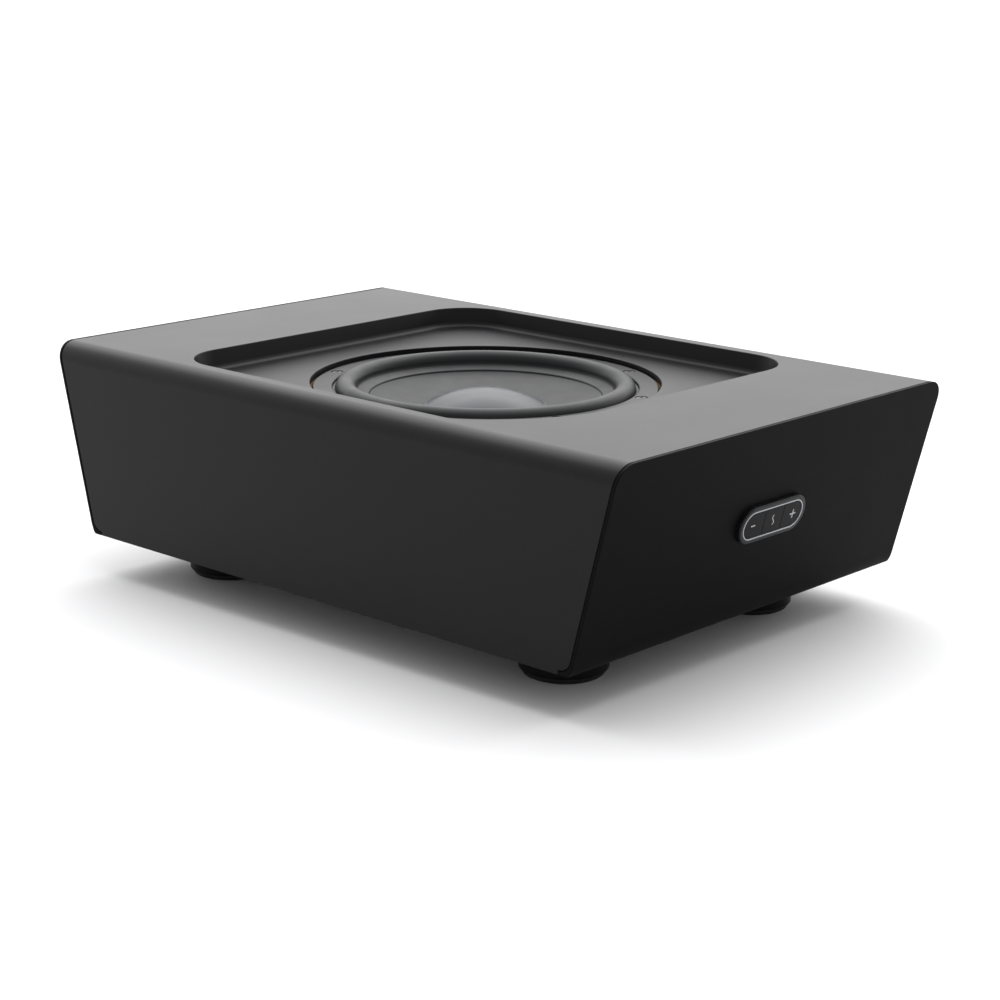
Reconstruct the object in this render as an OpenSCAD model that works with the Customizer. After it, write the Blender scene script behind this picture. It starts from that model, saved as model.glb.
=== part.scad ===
// Low-profile wireless subwoofer: a trapezoid cabinet with an up-firing woofer in a shallow top
// recess, a control pod on the right end, a connector bay in the left end and four tall feet.
// Millimetres. Origin: centre of the cabinet on the floor. +X right, +Y back, +Z up.

/* [Cabinet] */
// Length of the top face, left to right
body_l = 550; // [520:5:600]
// Depth of the cabinet, front to back
body_d = 356; // [350:2:380]
// Height of the cabinet without its feet
body_h = 142; // [138:1:160]
// Lean of each end face from upright, in degrees
end_lean = 14.5; // [12:0.5:16]
// Radius along the top front and top back edges
top_r = 14.5; // [12:0.5:18]
// Radius along the bottom edge of each end
heel_r = 12; // [10:0.5:14]
// Thickness of the wrap-round sleeve
sleeve_t = 5; // [4:0.5:6]
// Thickness of the end caps
cap_t = 2.5; // [2.5:0.5:5]
// Shadow gap between sleeve and end cap
seam = 0.5; // [0.3:0.1:0.6]

/* [Top recess] */
// Length of the recess at the top face
recess_l = 336; // [330:1:340]
// Width of the recess at the top face
recess_w = 311; // [306:1:314]
// Depth of the recess floor below the top face
recess_depth = 15; // [13:0.5:16]
// Corner radius of the recess
recess_r = 40; // [30:1:50]
// How far each recess wall leans in
recess_draft = 3; // [2:0.5:4]
// Fillet between recess wall and floor
recess_fillet = 5; // [4:1:9]

/* [Woofer] */
// Outer radius of the frame and its trim ring
frame_r = 126; // [124:0.5:126.5]
// Inner radius of the trim ring
trim_in_r = 111.5; // [111:0.5:112]
// Radius of the circle that the frame screws sit on
screw_circle_r = 118.3; // [117.5:0.1:119]
// Radius of the middle of the rubber roll
roll_mid_r = 102.25; // [101:0.25:103]
// Radius of the roll's own half-round section
roll_r = 7.75; // [7:0.25:8]
// Radius where the rubber ends on the cone
cone_edge_r = 85; // [83:0.5:86]
// Radius of the dust cap's rim
dust_cap_r = 43.5; // [42:0.5:45]
// Height of the dust cap's dome
dust_cap_h = 11; // [9:0.5:12]
// Inner radius of the voice coil former
former_r = 25; // [24.5:0.1:25.4]
// Radius of the magnet
magnet_r = 66; // [60:1:68]
// Travel of the cone, up or down from rest
cone_travel = 8; // [4:0.5:8]

/* [Control pod] */
// Length of the pod along the end face
pod_l = 72; // [70:1:76]
// Height of the pod on the end face
pod_w = 27; // [26:0.5:28]
// How far the pod stands off the end face
pod_h = 3.5; // [3:0.5:4]
// Length of the silver ring's outer edge
ring_l = 65.8; // [65:0.1:66]
// Height of the silver ring's outer edge
ring_w = 21.3; // [21:0.1:21.6]
// Width of the silver ring's band
ring_band = 1.3; // [1:0.1:1.5]
// Gap around each key
key_gap = 0.35; // [0.3:0.05:0.5]
// Travel of each key
key_travel = 0.5; // [0.3:0.1:0.6]

/* [Feet] */
// Radius of a foot
foot_r = 30.5; // [28:0.5:32]
// Height of a foot with its pad
foot_h = 31; // [28:1:34]
// Thickness of the rubber pad under a foot
foot_pad_t = 4; // [3:0.5:6]
// Distance of the feet from the middle, along the length
foot_x = 168; // [160:1:172]
// Distance of the feet from the middle, along the depth
foot_y = 103; // [95:1:110]

/* [Connector bay] */
// Length of the bay's opening along the end face
bay_l = 104; // [100:1:110]
// Height of the bay's opening on the end face
bay_w = 36; // [34:1:40]
// Depth of the bay below the end face
bay_depth = 12; // [11:0.5:14]
// Outer radius of a line-in jack's barrel
jack_r = 4.15; // [4:0.05:4.2]
// Length of a line-in jack's barrel
jack_l = 9; // [8:0.5:10]

/* [Hidden] */

$fn = 96;
HULL_FN = 32;
EPS = 0.01;
TOP = foot_h + body_h;
LEAN = tan(end_lean);
SECANT = 1 / cos(end_lean);
HALF_D = body_d / 2;
FLOOR_Z = TOP - recess_depth;

// Points of an arc around c, from angle a0 to a1.
function arc(c, r, a0, a1, n = 12) =
    [for (i = [0:n]) c + r * [cos(a0 + (a1 - a0) * i / n), sin(a0 + (a1 - a0) * i / n)]];
// Half length of the cabinet at height z.
function half_length(z) = body_l / 2 - LEAN * (TOP - z);
// Outline of the cabinet from the front, pulled in by inset at the ends and by lift underneath.
// With step, only the heel is lifted.
function front_right_half(inset, lift, step) = let (
        r = max(heel_r - inset, 1),
        low = foot_h + lift,
        corner = half_length(low) - inset * SECANT,
        tangent = r / tan(45 + end_lean / 2))
    concat(step ? [[0, foot_h], [HEEL_X - seam, foot_h], [HEEL_X - seam, low]] : [[0, low]],
        arc([corner - tangent, low + r], r, -90, -end_lean),
        [[half_length(TOP) - inset * SECANT, TOP], [0, TOP]]);

module front_outline(inset, lift, step) {
    half = front_right_half(inset, lift, step);
    polygon(half);
    mirror([1, 0]) polygon(half);
}

// The cabinet's block, inset from every side but the underside.
module cabinet_block(end_inset = 0, side_inset = 0, lift = 0, step = false) {
    r = max(top_r - side_inset, 1);
    y = HALF_D - side_inset;
    top = TOP - side_inset;
    low = step ? foot_h : foot_h + lift;
    intersection() {
        rotate([90, 0, 0]) linear_extrude(body_d + 2, center = true)
            front_outline(end_inset, lift, step);
        rotate([90, 0, 90]) linear_extrude(body_l + 2, center = true)
            polygon(concat([[-y, low], [y, low]],
                arc([y - r, top - r], r, 0, 90), arc([r - y, top - r], r, 90, 180)));
    }
}

module rounded_slab(l, w, r, z, h = EPS) {
    for (sx = [-1, 1], sy = [-1, 1])
        translate([sx * (l / 2 - r), sy * (w / 2 - r), z]) cylinder(r = r, h = h, $fn = HULL_FN);
}

// The recess as a solid, grown by wall on every side. One smooth hull.
module recess_solid(wall = 0, above = 0) {
    lean_at = [0, recess_draft * (recess_depth - recess_fillet) / recess_depth];
    hull() {
        rounded_slab(recess_l + 2 * wall, recess_w + 2 * wall, recess_r + wall, TOP + above);
        for (i = [0:5]) {
            a = i * 18;
            inward = lean_at[1] + recess_fillet * (1 - cos(a)) - wall;
            deep = recess_depth - recess_fillet * (1 - sin(a)) + (wall > 0 ? wall : 0);
            rounded_slab(recess_l - 2 * inward, recess_w - 2 * inward, recess_r - inward, TOP - deep);
        }
    }
}

module ring(r_out, r_in, z0, z1) {
    translate([0, 0, z0]) difference() {
        cylinder(r = r_out, h = z1 - z0);
        translate([0, 0, -1]) cylinder(r = r_in, h = z1 - z0 + 2);
    }
}

module at_feet() for (sx = [-1, 1], sy = [-1, 1]) translate([sx * foot_x, sy * foot_y, 0]) children();

// ---- cabinet ----
GAP = 0.3;
CUTOUT_R = frame_r + 2;
SLEEVE_IN = HALF_D - sleeve_t;
PLATE_TOP = foot_h + 5;
// The end cap's lip starts at LIP_X between the sleeve's long sides and at HEEL_X below them.
LIP_X = 213;
HEEL_X = half_length(foot_h) - heel_r / tan(45 + end_lean / 2) - 0.5;
CAP_SCREW_X = 206;
CAP_SCREW_Y = [-120, 0, 120];
BAFFLE_TOP = FLOOR_Z - sleeve_t - GAP - 0.1;
BAFFLE_T = 14;
SEAT_Z = TOP - 25.8;
BRACE_X = 133;

module cabinet_sleeve() color("#2b2c2e") difference() {
    union() {
        difference() {
            cabinet_block(end_inset = cap_t + seam, lift = cap_t + seam, step = true);
            cabinet_block(side_inset = sleeve_t, lift = -1);
        }
        intersection() {
            recess_solid(wall = sleeve_t);
            cabinet_block(end_inset = cap_t + seam, side_inset = 1);
        }
    }
    recess_solid(above = 1);
    translate([0, 0, FLOOR_Z - 3 * sleeve_t]) cylinder(r = CUTOUT_R, h = 4 * sleeve_t);
}

// One end cap, drawn on the right: a face panel, a heel that turns under, a rim that plugs into
// the sleeve and a ledge that the bottom plate is screwed to.
module end_cap_blank() {
    difference() {
        cabinet_block();
        cabinet_block(end_inset = cap_t, lift = cap_t, side_inset = -20);
        translate([LIP_X - body_l, -body_d, 0]) cube([body_l, 2 * body_d, TOP + 1]);
        for (y = [GAP - SLEEVE_IN - body_d, SLEEVE_IN - GAP])
            translate([HEEL_X - body_l, y, 0]) cube([body_l, body_d, TOP + 1]);
    }
    difference() {
        intersection() {
            cabinet_block(end_inset = cap_t - EPS, side_inset = sleeve_t + GAP, lift = cap_t - EPS);
            translate([CAP_SCREW_X - 8, -body_d, 0]) cube([body_l, 2 * body_d, TOP]);
        }
        cabinet_block(end_inset = cap_t + 9, side_inset = -20, lift = -1);
        cabinet_block(side_inset = sleeve_t + GAP + 3, lift = -1);
    }
    translate([CAP_SCREW_X - 6, 20 - HALF_D, PLATE_TOP + GAP])
        cube([heel_r + 14, body_d - 40, 4]);
    translate([LIP_X + 2, 20 - HALF_D, foot_h + cap_t - EPS])
        cube([heel_r, body_d - 40, PLATE_TOP - foot_h - cap_t + 1]);
}

module cap_screw_holes(r) for (y = CAP_SCREW_Y)
    translate([CAP_SCREW_X, y, foot_h - 1]) cylinder(r = r, h = 12);

// Moves its children onto the middle of the right end face: local +Z points out of the face,
// local +X down it and local +Y back along it.
POD_DROP = 72;
POD_Z = TOP - POD_DROP * cos(end_lean);
module on_right_face() translate([half_length(POD_Z), 0, POD_Z]) rotate([0, 90 + end_lean, 0]) children();
module on_left_face() mirror([1, 0, 0]) on_right_face() children();

// Obround along local Y.
module obround(l, w, z0, z1) translate([0, 0, z0]) {
    for (s = [-1, 1]) translate([0, s * (l - w) / 2, 0]) cylinder(d = w, h = z1 - z0);
    translate([-w / 2, (w - l) / 2, 0]) cube([w, l - w, z1 - z0]);
}

COLLAR_L = ring_l + 2;
COLLAR_W = ring_w + 2;
BOSS_Y = 41;
BOARD_TOP = -10;
module right_end_cap() color("#161617") {
    difference() {
        end_cap_blank();
        on_right_face() obround(COLLAR_L + 0.4, COLLAR_W + 0.4, -12, 4);
        cap_screw_holes(1.6);
    }
    on_right_face() for (s = [-1, 1]) translate([0, s * BOSS_Y, BOARD_TOP]) difference() {
        cylinder(r = 3.5, h = -BOARD_TOP - cap_t + EPS);
        translate([0, 0, -1]) cylinder(r = 1, h = 6);
    }
}

TRAY_RIM = 5;
TRAY_T = 2;
module left_end_cap() color("#161617") difference() {
    mirror([1, 0, 0]) end_cap_blank();
    on_left_face() {
        cube([bay_w + 2 * TRAY_RIM + 0.4, bay_l + 2 * TRAY_RIM + 0.4, 3], center = true);
        cube([bay_w + 2 * TRAY_T + 0.4, bay_l + 2 * TRAY_T + 0.4, 60], center = true);
    }
    mirror([1, 0, 0]) cap_screw_holes(1.6);
}

PLATE_SCREW_Y = SLEEVE_IN - 7;
PLATE_SCREW_X = [-150, -50, 50, 150];
module bottom_plate() color("#1a1a1b") difference() {
    union() {
        translate([-LIP_X + GAP, -SLEEVE_IN + GAP, foot_h])
            cube([2 * (LIP_X - GAP), 2 * (SLEEVE_IN - GAP), 5]);
        at_feet() translate([0, 0, PLATE_TOP - EPS]) cylinder(r = 9, h = 8);
    }
    for (s = [-1, 1], y = CAP_SCREW_Y) translate([s * CAP_SCREW_X, y, foot_h - 1]) {
        cylinder(r = 2.1, h = 7);
        cylinder(r = 4.2, h = 3.5);
    }
    for (x = PLATE_SCREW_X, s = [-1, 1]) translate([x, s * PLATE_SCREW_Y, foot_h - 1]) {
        cylinder(r = 2.1, h = 7);
        cylinder(r = 4.2, h = 3.5);
    }
    at_feet() translate([0, 0, foot_h - 1]) cylinder(r = 2.05, h = 11);
}

module pan_screw(head_r, head_h, shank_r, shank_l, seat_z) {
    translate([0, 0, seat_z - head_h]) difference() {
        cylinder(r = head_r, h = head_h);
        translate([0, 0, -1]) cylinder(r = head_r * 0.45, h = 1 + head_h * 0.6, $fn = 6);
    }
    translate([0, 0, seat_z - EPS]) cylinder(r = shank_r, h = shank_l);
}

module end_cap_screws() color("#3a3a3c")
    for (s = [-1, 1], y = CAP_SCREW_Y) translate([s * CAP_SCREW_X, y, 0])
        pan_screw(3.6, 2.2, 1.6, 7.5, foot_h + 2.5);

module bottom_plate_screws() color("#3a3a3c")
    for (x = PLATE_SCREW_X, s = [-1, 1]) translate([x, s * PLATE_SCREW_Y, 0])
        pan_screw(3.6, 2.2, 1.6, 9, foot_h + 2.5);

module driver_baffle() color("#8a6a44") {
    difference() {
        translate([-165, -SLEEVE_IN + GAP, BAFFLE_TOP - BAFFLE_T])
            cube([330, 2 * (SLEEVE_IN - GAP), BAFFLE_T]);
        translate([0, 0, SEAT_Z]) cylinder(r = CUTOUT_R, h = BAFFLE_T);
        translate([0, 0, BAFFLE_TOP - BAFFLE_T - 1]) cylinder(r = 113.5, h = BAFFLE_T + 2);
        for (a = [22.5:45:359]) rotate(a) translate([screw_circle_r, 0, SEAT_Z - 8])
            cylinder(r = 2.1, h = 12);
    }
    for (x = PLATE_SCREW_X, s = [-1, 1]) difference() {
        translate([x - 5, s > 0 ? SLEEVE_IN - GAP - 13 : GAP - SLEEVE_IN, PLATE_TOP + GAP])
            cube([10, 13, BAFFLE_TOP - BAFFLE_T - PLATE_TOP - GAP + EPS]);
        translate([x, s * PLATE_SCREW_Y, PLATE_TOP - 1]) cylinder(r = 1.6, h = 12);
    }
}

module brace(x) color("#8a6a44") difference() {
    translate([x - 4, -SLEEVE_IN + 20, PLATE_TOP + GAP])
        cube([8, 2 * SLEEVE_IN - 40, BAFFLE_TOP - BAFFLE_T - PLATE_TOP - 2 * GAP]);
    for (y = [-95, 0, 95]) translate([x, y, foot_h + body_h * 0.38]) rotate([0, 90, 0])
        cylinder(r = 34, h = 10, center = true);
}
module brace_left() brace(-BRACE_X);
module brace_right() brace(BRACE_X);

// ---- feet ----
module foot_bodies() color("#121213") at_feet() difference() {
    rotate_extrude() polygon([[0, foot_pad_t], [foot_r - 1.2, foot_pad_t], [foot_r, foot_pad_t + 1.2],
        [foot_r, foot_h - 1.5], [foot_r - 1.5, foot_h], [0, foot_h]]);
    translate([0, 0, foot_pad_t - 1]) cylinder(r = 6, h = foot_h - 14);
    translate([0, 0, 0]) cylinder(r = 2.7, h = foot_h + 1);
}

module foot_pads() color("#0c0c0c") at_feet() rotate_extrude() polygon(concat([[9, foot_pad_t],
    [9, 0]], arc([foot_r - 2.2 - foot_pad_t * 0.8, foot_pad_t * 0.8], foot_pad_t * 0.8, -90, 0, 6),
    [[foot_r - 2.2, foot_pad_t]]));

module foot_screws() color("#77777a") at_feet() pan_screw(4.6, 3.2, 2.05, 21, foot_h - 11);

// ---- woofer ----
ROLL_Z = TOP - 21.6;
TRIM_TOP = FLOOR_Z - 3.2;
SCREW_SINK = 1.4;
TRIM_LOW = TOP - 20.4;
STEP_R = 115;
RUBBER_T = 1.2;
CONE_SLOPE = 0.188;
NECK_R = former_r + 0.4;
SHELF_Z = TOP - 60;
PLATE_GAP_TOP = TOP - 72;
PLATE_GAP_T = 8;
MAGNET_T = 20;
YOKE_T = 8;
MAGNET_TOP = PLATE_GAP_TOP - PLATE_GAP_T;
YOKE_TOP = MAGNET_TOP - MAGNET_T;
// Height of the cone's upper surface at radius r.
function cone_z(r) = TOP - 25 - RUBBER_T - CONE_SLOPE * (cone_edge_r - r);

module driver_gasket() color("#2a2a2a") difference() {
    ring(frame_r - 1, 114, SEAT_Z, SEAT_Z + 1.3);
    for (a = [22.5:45:359]) rotate(a) translate([screw_circle_r, 0, SEAT_Z - 1]) cylinder(r = 2.6, h = 4);
}

FLANGE_LOW = SEAT_Z + 1.3;
LEGS = 6;
module driver_basket() color("#3b3c3f") difference() {
    union() {
        ring(frame_r, 109.8, FLANGE_LOW, TRIM_LOW);
        ring(112.8, 109.8, FLANGE_LOW - 10, FLANGE_LOW + EPS);
        for (i = [0:LEGS - 1]) rotate(30 + i * 360 / LEGS) rotate([90, 0, 0])
            linear_extrude(12, center = true) polygon([[112.8, FLANGE_LOW], [112.8, FLANGE_LOW - 12],
                [78, SHELF_Z - 6], [62, PLATE_GAP_TOP], [54, PLATE_GAP_TOP], [54, PLATE_GAP_TOP + 4],
                [66, SHELF_Z - EPS], [72, SHELF_Z], [109.8, FLANGE_LOW - 6], [109.8, FLANGE_LOW]]);
        ring(76, 66, SHELF_Z - 5, SHELF_Z);
        ring(63, 34, PLATE_GAP_TOP, PLATE_GAP_TOP + 4);
    }
    ring(STEP_R, 100, ROLL_Z - 0.2, TRIM_LOW + 1);
    for (a = [22.5:45:359]) rotate(a) translate([screw_circle_r, 0, FLANGE_LOW - 1]) cylinder(r = 2.6, h = 9);
}

module driver_trim_ring() color("#3a3b3d") difference() {
    rotate_extrude() polygon(concat([[trim_in_r, TRIM_LOW], [frame_r, TRIM_LOW]],
        arc([frame_r - 0.8, TRIM_TOP - 0.8], 0.8, 0, 90, 4),
        arc([trim_in_r + 0.8, TRIM_TOP - 0.8], 0.8, 90, 180, 4)));
    for (a = [22.5:45:359]) rotate(a) translate([screw_circle_r, 0, 0]) {
        translate([0, 0, TRIM_LOW - 1]) cylinder(r = 2.6, h = 9);
        translate([0, 0, TRIM_TOP - SCREW_SINK]) cylinder(r = 4.6, h = 4);
    }
}

module driver_screws() color("#1c1c1e") for (a = [22.5:45:359]) rotate(a)
    translate([screw_circle_r, 0, 0]) mirror([0, 0, 1])
        pan_screw(4.1, 1.2, 2.1, 14, SCREW_SINK - TRIM_TOP);

module surround() color("#1e1f20") rotate_extrude() polygon(concat(
    [[STEP_R - 0.2, ROLL_Z], [STEP_R - 0.2, ROLL_Z + RUBBER_T]],
    arc([roll_mid_r, ROLL_Z + 0.4], roll_r, 5, 175, 20),
    [[roll_mid_r - roll_r, cone_z(roll_mid_r - roll_r) + RUBBER_T + 0.1],
        [cone_edge_r, cone_z(cone_edge_r) + RUBBER_T], [cone_edge_r, cone_z(cone_edge_r) + 0.02],
        [roll_mid_r - roll_r + RUBBER_T, cone_z(roll_mid_r - roll_r + RUBBER_T) + 0.02]],
    arc([roll_mid_r, ROLL_Z + 0.4], roll_r - RUBBER_T, 175, 5, 20),
    [[roll_mid_r + roll_r - RUBBER_T, ROLL_Z]]));

module cone() color("#2a2b2d") rotate_extrude() polygon([
    [roll_mid_r - roll_r, cone_z(roll_mid_r - roll_r)], [NECK_R + 0.1, cone_z(NECK_R)],
    [NECK_R + 0.1, cone_z(NECK_R) - 4], [NECK_R + 1.6, cone_z(NECK_R) - 4],
    [NECK_R + 2.4, cone_z(NECK_R) - 1.3], [roll_mid_r - roll_r, cone_z(roll_mid_r - roll_r) - 1.4]]);

module dust_cap() color("#33373d") {
    sphere_r = (dust_cap_r * dust_cap_r + dust_cap_h * dust_cap_h) / (2 * dust_cap_h);
    half_angle = asin(dust_cap_r / sphere_r);
    rim_z = cone_z(dust_cap_r) + 0.35;
    centre = [0, rim_z + dust_cap_h - sphere_r];
    rotate_extrude() polygon(concat(arc(centre, sphere_r, 90, 90 - half_angle, 16),
        arc(centre, sphere_r - 0.9, 90 - half_angle + 0.5, 90, 16)));
}

FORMER_LOW = YOKE_TOP + 11;
module coil_former() color("#b88a3a") ring(former_r + 0.4, former_r, FORMER_LOW, cone_z(NECK_R) + 5);
COIL_MID = PLATE_GAP_TOP - PLATE_GAP_T / 2;
module voice_coil() color("#b5632a") ring(former_r + 2, former_r + 0.4, COIL_MID - 10, COIL_MID + 10);

SPIDER_T = 0.6;
RIPPLE = 2;
function ripple_z(r) = SHELF_Z + 0.7 + RIPPLE * (1 - cos((r - 30) * 360 / 9)) / 2;
module spider() color("#c2a25a") rotate_extrude() polygon(concat(
    [[former_r + 0.45, SHELF_Z + 0.7]], [for (i = [0:32]) [30 + i * 36 / 32, ripple_z(30 + i * 36 / 32)]],
    [[71.5, SHELF_Z + 0.7], [71.5, SHELF_Z + 0.05], [66.5, SHELF_Z + 0.05]],
    [for (i = [0:32]) [66 - i * 36 / 32, ripple_z(66 - i * 36 / 32) - SPIDER_T]],
    [[former_r + 0.45, SHELF_Z + 0.7 - SPIDER_T]]));

module top_plate() color("#8f9296") ring(62, former_r + 2.8, MAGNET_TOP, PLATE_GAP_TOP);
module magnet() color("#2d2d30") ring(magnet_r, 33, YOKE_TOP, MAGNET_TOP);
module pole_yoke() color("#8f9296") {
    ring(62, 8, YOKE_TOP - YOKE_T, YOKE_TOP);
    ring(former_r - 0.8, 8, YOKE_TOP - 1, PLATE_GAP_TOP);
}

TERMINAL_X = -86;
module driver_terminals() color("#c9b46a") translate([TERMINAL_X, 0, SHELF_Z - 5]) {
    difference() {
        translate([-7, -16, 0]) cube([14, 32, 3]);
        for (s = [-1, 1]) translate([0, s * 9, -1]) cylinder(r = 1.2, h = 5);
    }
    for (s = [-1, 1]) translate([-9, s * 9 - 3, 3 - EPS]) cube([11, 6, 1]);
    translate([5, -16, -2]) cube([4.5, 32, 2 + EPS]);
}

// Each lead loops from a terminal up to the underside of the cone.
LEAD_R = 0.9;
LEAD_SPAN = 14;
module tinsel_leads() color("#b08d57") for (s = [-1, 1])
    translate([TERMINAL_X + 3 + LEAD_SPAN, s * 9, SHELF_Z + 6]) rotate([90, 0, 0]) {
        rotate_extrude(angle = 180) translate([LEAD_SPAN, 0]) circle(r = LEAD_R, $fn = 24);
        rotate([90, 0, 0]) translate([-LEAD_SPAN, 0, 0]) cylinder(r = LEAD_R, h = 6.5, $fn = 24);
    }

// ---- control pod ----
RING_DEEP = 1.5;
KEY_L = ring_l - 2 * ring_band - 2 * key_gap;
KEY_W = ring_w - 2 * ring_band - 2 * key_gap;
KEY_SPLIT = 10.2;
KEY_TOP = pod_h - 0.2;
KEY_T = 3;
SWITCH_H = 4;
module control_bezel() color("#0e0e0f") on_right_face() difference() {
    union() {
        obround(pod_l, pod_w, 0.05, pod_h - 1);
        obround(pod_l - 1.2, pod_w - 1.2, pod_h - 1 - EPS, pod_h);
        obround(COLLAR_L, COLLAR_W, -cap_t - 1, 0.05 + EPS);
    }
    obround(ring_l - 2 * ring_band, ring_w - 2 * ring_band, -8, pod_h + 1);
    obround(ring_l, ring_w, pod_h - RING_DEEP, pod_h + 1);
}

module control_ring() color("#b9bcc0") on_right_face() difference() {
    obround(ring_l - 0.1, ring_w - 0.1, pod_h - RING_DEEP, pod_h);
    obround(ring_l - 2 * ring_band, ring_w - 2 * ring_band, pod_h - 5, pod_h + 1);
}

module key_slice(y0, y1) {
    intersection() {
        obround(KEY_L, KEY_W, KEY_TOP - KEY_T, KEY_TOP);
        translate([-20, y0, -20]) cube([40, y1 - y0, 40]);
    }
}
module key_stem(y) translate([0, y, BOARD_TOP + SWITCH_H + GAP + key_travel])
    cylinder(r = 1.6, h = KEY_TOP - KEY_T - BOARD_TOP - SWITCH_H - GAP - key_travel + 0.5);
KEY_Y = 22;
module volume_down_key() color("#0b0b0c") on_right_face() {
    key_slice(-40, -KEY_SPLIT - key_gap / 2);
    key_stem(-KEY_Y);
}
module action_key() color("#0b0b0c") on_right_face() {
    key_slice(-KEY_SPLIT + key_gap / 2, KEY_SPLIT - key_gap / 2);
    key_stem(0);
}
module volume_up_key() color("#0b0b0c") on_right_face() {
    key_slice(KEY_SPLIT + key_gap / 2, 40);
    key_stem(KEY_Y);
}

module key_switches() color("#5c5c60") on_right_face() for (y = [-KEY_Y, 0, KEY_Y])
    translate([-3, y - 3, BOARD_TOP + EPS]) cube([6, 6, SWITCH_H - EPS]);

module control_board() color("#1d5a35") on_right_face() difference() {
    translate([-11, -BOSS_Y - 5, BOARD_TOP - 1.6]) cube([22, 2 * BOSS_Y + 10, 1.6 - EPS]);
    for (s = [-1, 1]) translate([0, s * BOSS_Y, BOARD_TOP - 3]) cylinder(r = 1.3, h = 5);
}
module control_board_screws() color("#9a9a9d") on_right_face() for (s = [-1, 1])
    translate([0, s * BOSS_Y, 0]) pan_screw(2.4, 1.4, 1, 5, BOARD_TOP - 1.6);

// ---- connector bay ----
INLET_Y = -30;
JACK_Y = [14, 34];
LENS_Y = 46;
INLET_PIN_Y = 4.3;
module connector_tray() color("#202022") on_left_face() difference() {
    union() {
        translate([0, 0, -0.75]) cube([bay_w + 2 * TRAY_RIM, bay_l + 2 * TRAY_RIM, 1.5], center = true);
        translate([-bay_w / 2 - TRAY_T, -bay_l / 2 - TRAY_T, -bay_depth - TRAY_T])
            cube([bay_w + 2 * TRAY_T, bay_l + 2 * TRAY_T, bay_depth + TRAY_T - 1]);
    }
    translate([-bay_w / 2, -bay_l / 2, -bay_depth]) cube([bay_w, bay_l, bay_depth + 5]);
    translate([-8, INLET_Y - 12.5, -bay_depth - 5]) cube([16, 25, 10]);
    for (y = JACK_Y) translate([0, y, -bay_depth - 5]) cylinder(r = 6.1, h = 10);
    translate([0, LENS_Y, -bay_depth - 5]) cylinder(r = 1.6, h = 10);
}

module figure_eight(r, z0, z1) translate([0, 0, z0]) {
    for (s = [-1, 1]) translate([0, s * INLET_PIN_Y, 0]) cylinder(r = r, h = z1 - z0);
    translate([0.6 - r, -INLET_PIN_Y, 0]) cube([2 * r - 1.2, 2 * INLET_PIN_Y, z1 - z0]);
}
module mains_inlet() color("#101011") on_left_face() translate([0, INLET_Y, -bay_depth]) difference() {
    union() {
        translate([-10, -15, 0.05]) cube([20, 30, 1.6]);
        translate([-7.7, -12.2, -16]) cube([15.4, 24.4, 16.2]);
    }
    figure_eight(4.6, -10, 5);
    for (s = [-1, 1]) translate([0, s * INLET_PIN_Y, -20]) cylinder(r = 1.2, h = 30);
}
module mains_pins() color("#c8cacc") on_left_face()
    for (s = [-1, 1]) translate([0, INLET_Y + s * INLET_PIN_Y, -bay_depth - 20]) cylinder(r = 1.18, h = 19);

// Each barrel stands on a slimmer neck, which its insulator's flange goes round.
JACK_NECK = 1.5;
module line_in_jacks() color("#c9b46a") on_left_face() for (y = JACK_Y)
    translate([0, y, -bay_depth]) difference() {
        union() {
            translate([0, 0, JACK_NECK]) cylinder(r = jack_r, h = jack_l - JACK_NECK);
            cylinder(r = jack_r - 0.3, h = JACK_NECK + EPS);
            translate([0, 0, -6]) cylinder(r = 3, h = 7);
        }
        translate([0, 0, jack_l - 8]) cylinder(r = 1.6, h = 9);
    }
module jack_insulators() color("#101011") on_left_face() for (y = JACK_Y)
    translate([0, y, -bay_depth]) difference() {
        union() {
            translate([0, 0, 0.05]) cylinder(r = 7.5, h = 1.2);
            translate([0, 0, -4]) cylinder(r = 6, h = 4.2);
        }
        translate([0, 0, -5]) cylinder(r = 3.05, h = 8);
        translate([0, 0, -EPS]) cylinder(r = jack_r + 0.05, h = 3);
    }
module status_lens() color("#d8dde0") on_left_face() translate([0, LENS_Y, -bay_depth - TRAY_T - 3])
    cylinder(r = 1.55, h = TRAY_T + 3.6);

// ---- electronics ----
AMP_MID = [-168, -62];
SUPPLY_MID = [-168, 68];
BOARD_SIZE = [56, 118];
BOARD_Z = PLATE_TOP + 10;
BOARD_T = 1.6;
DECK = BOARD_Z + BOARD_T;
module board_outline(mid) difference() {
    translate([mid[0] - BOARD_SIZE[0] / 2, mid[1] - BOARD_SIZE[1] / 2, BOARD_Z])
        cube([BOARD_SIZE[0], BOARD_SIZE[1], BOARD_T]);
    at_board_corners(mid) translate([0, 0, BOARD_Z - 1]) cylinder(r = 1.7, h = 4);
}
module at_board_corners(mid) for (sx = [-1, 1], sy = [-1, 1])
    translate([mid[0] + sx * (BOARD_SIZE[0] / 2 - 5), mid[1] + sy * (BOARD_SIZE[1] / 2 - 5), 0]) children();
module amp_board() color("#1d5a35") board_outline(AMP_MID);
module supply_board() color("#1d5a35") board_outline(SUPPLY_MID);
module board_standoffs() color("#b9a25a") for (mid = [AMP_MID, SUPPLY_MID]) at_board_corners(mid)
    difference() {
        translate([0, 0, PLATE_TOP]) cylinder(r = 3, h = BOARD_Z - PLATE_TOP, $fn = 6);
        translate([0, 0, BOARD_Z - 7]) cylinder(r = 1.25, h = 8);
    }
module board_screws() color("#9a9a9d") for (mid = [AMP_MID, SUPPLY_MID]) at_board_corners(mid)
    mirror([0, 0, 1]) pan_screw(2.7, 1.8, 1.25, 7, -DECK);

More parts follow.
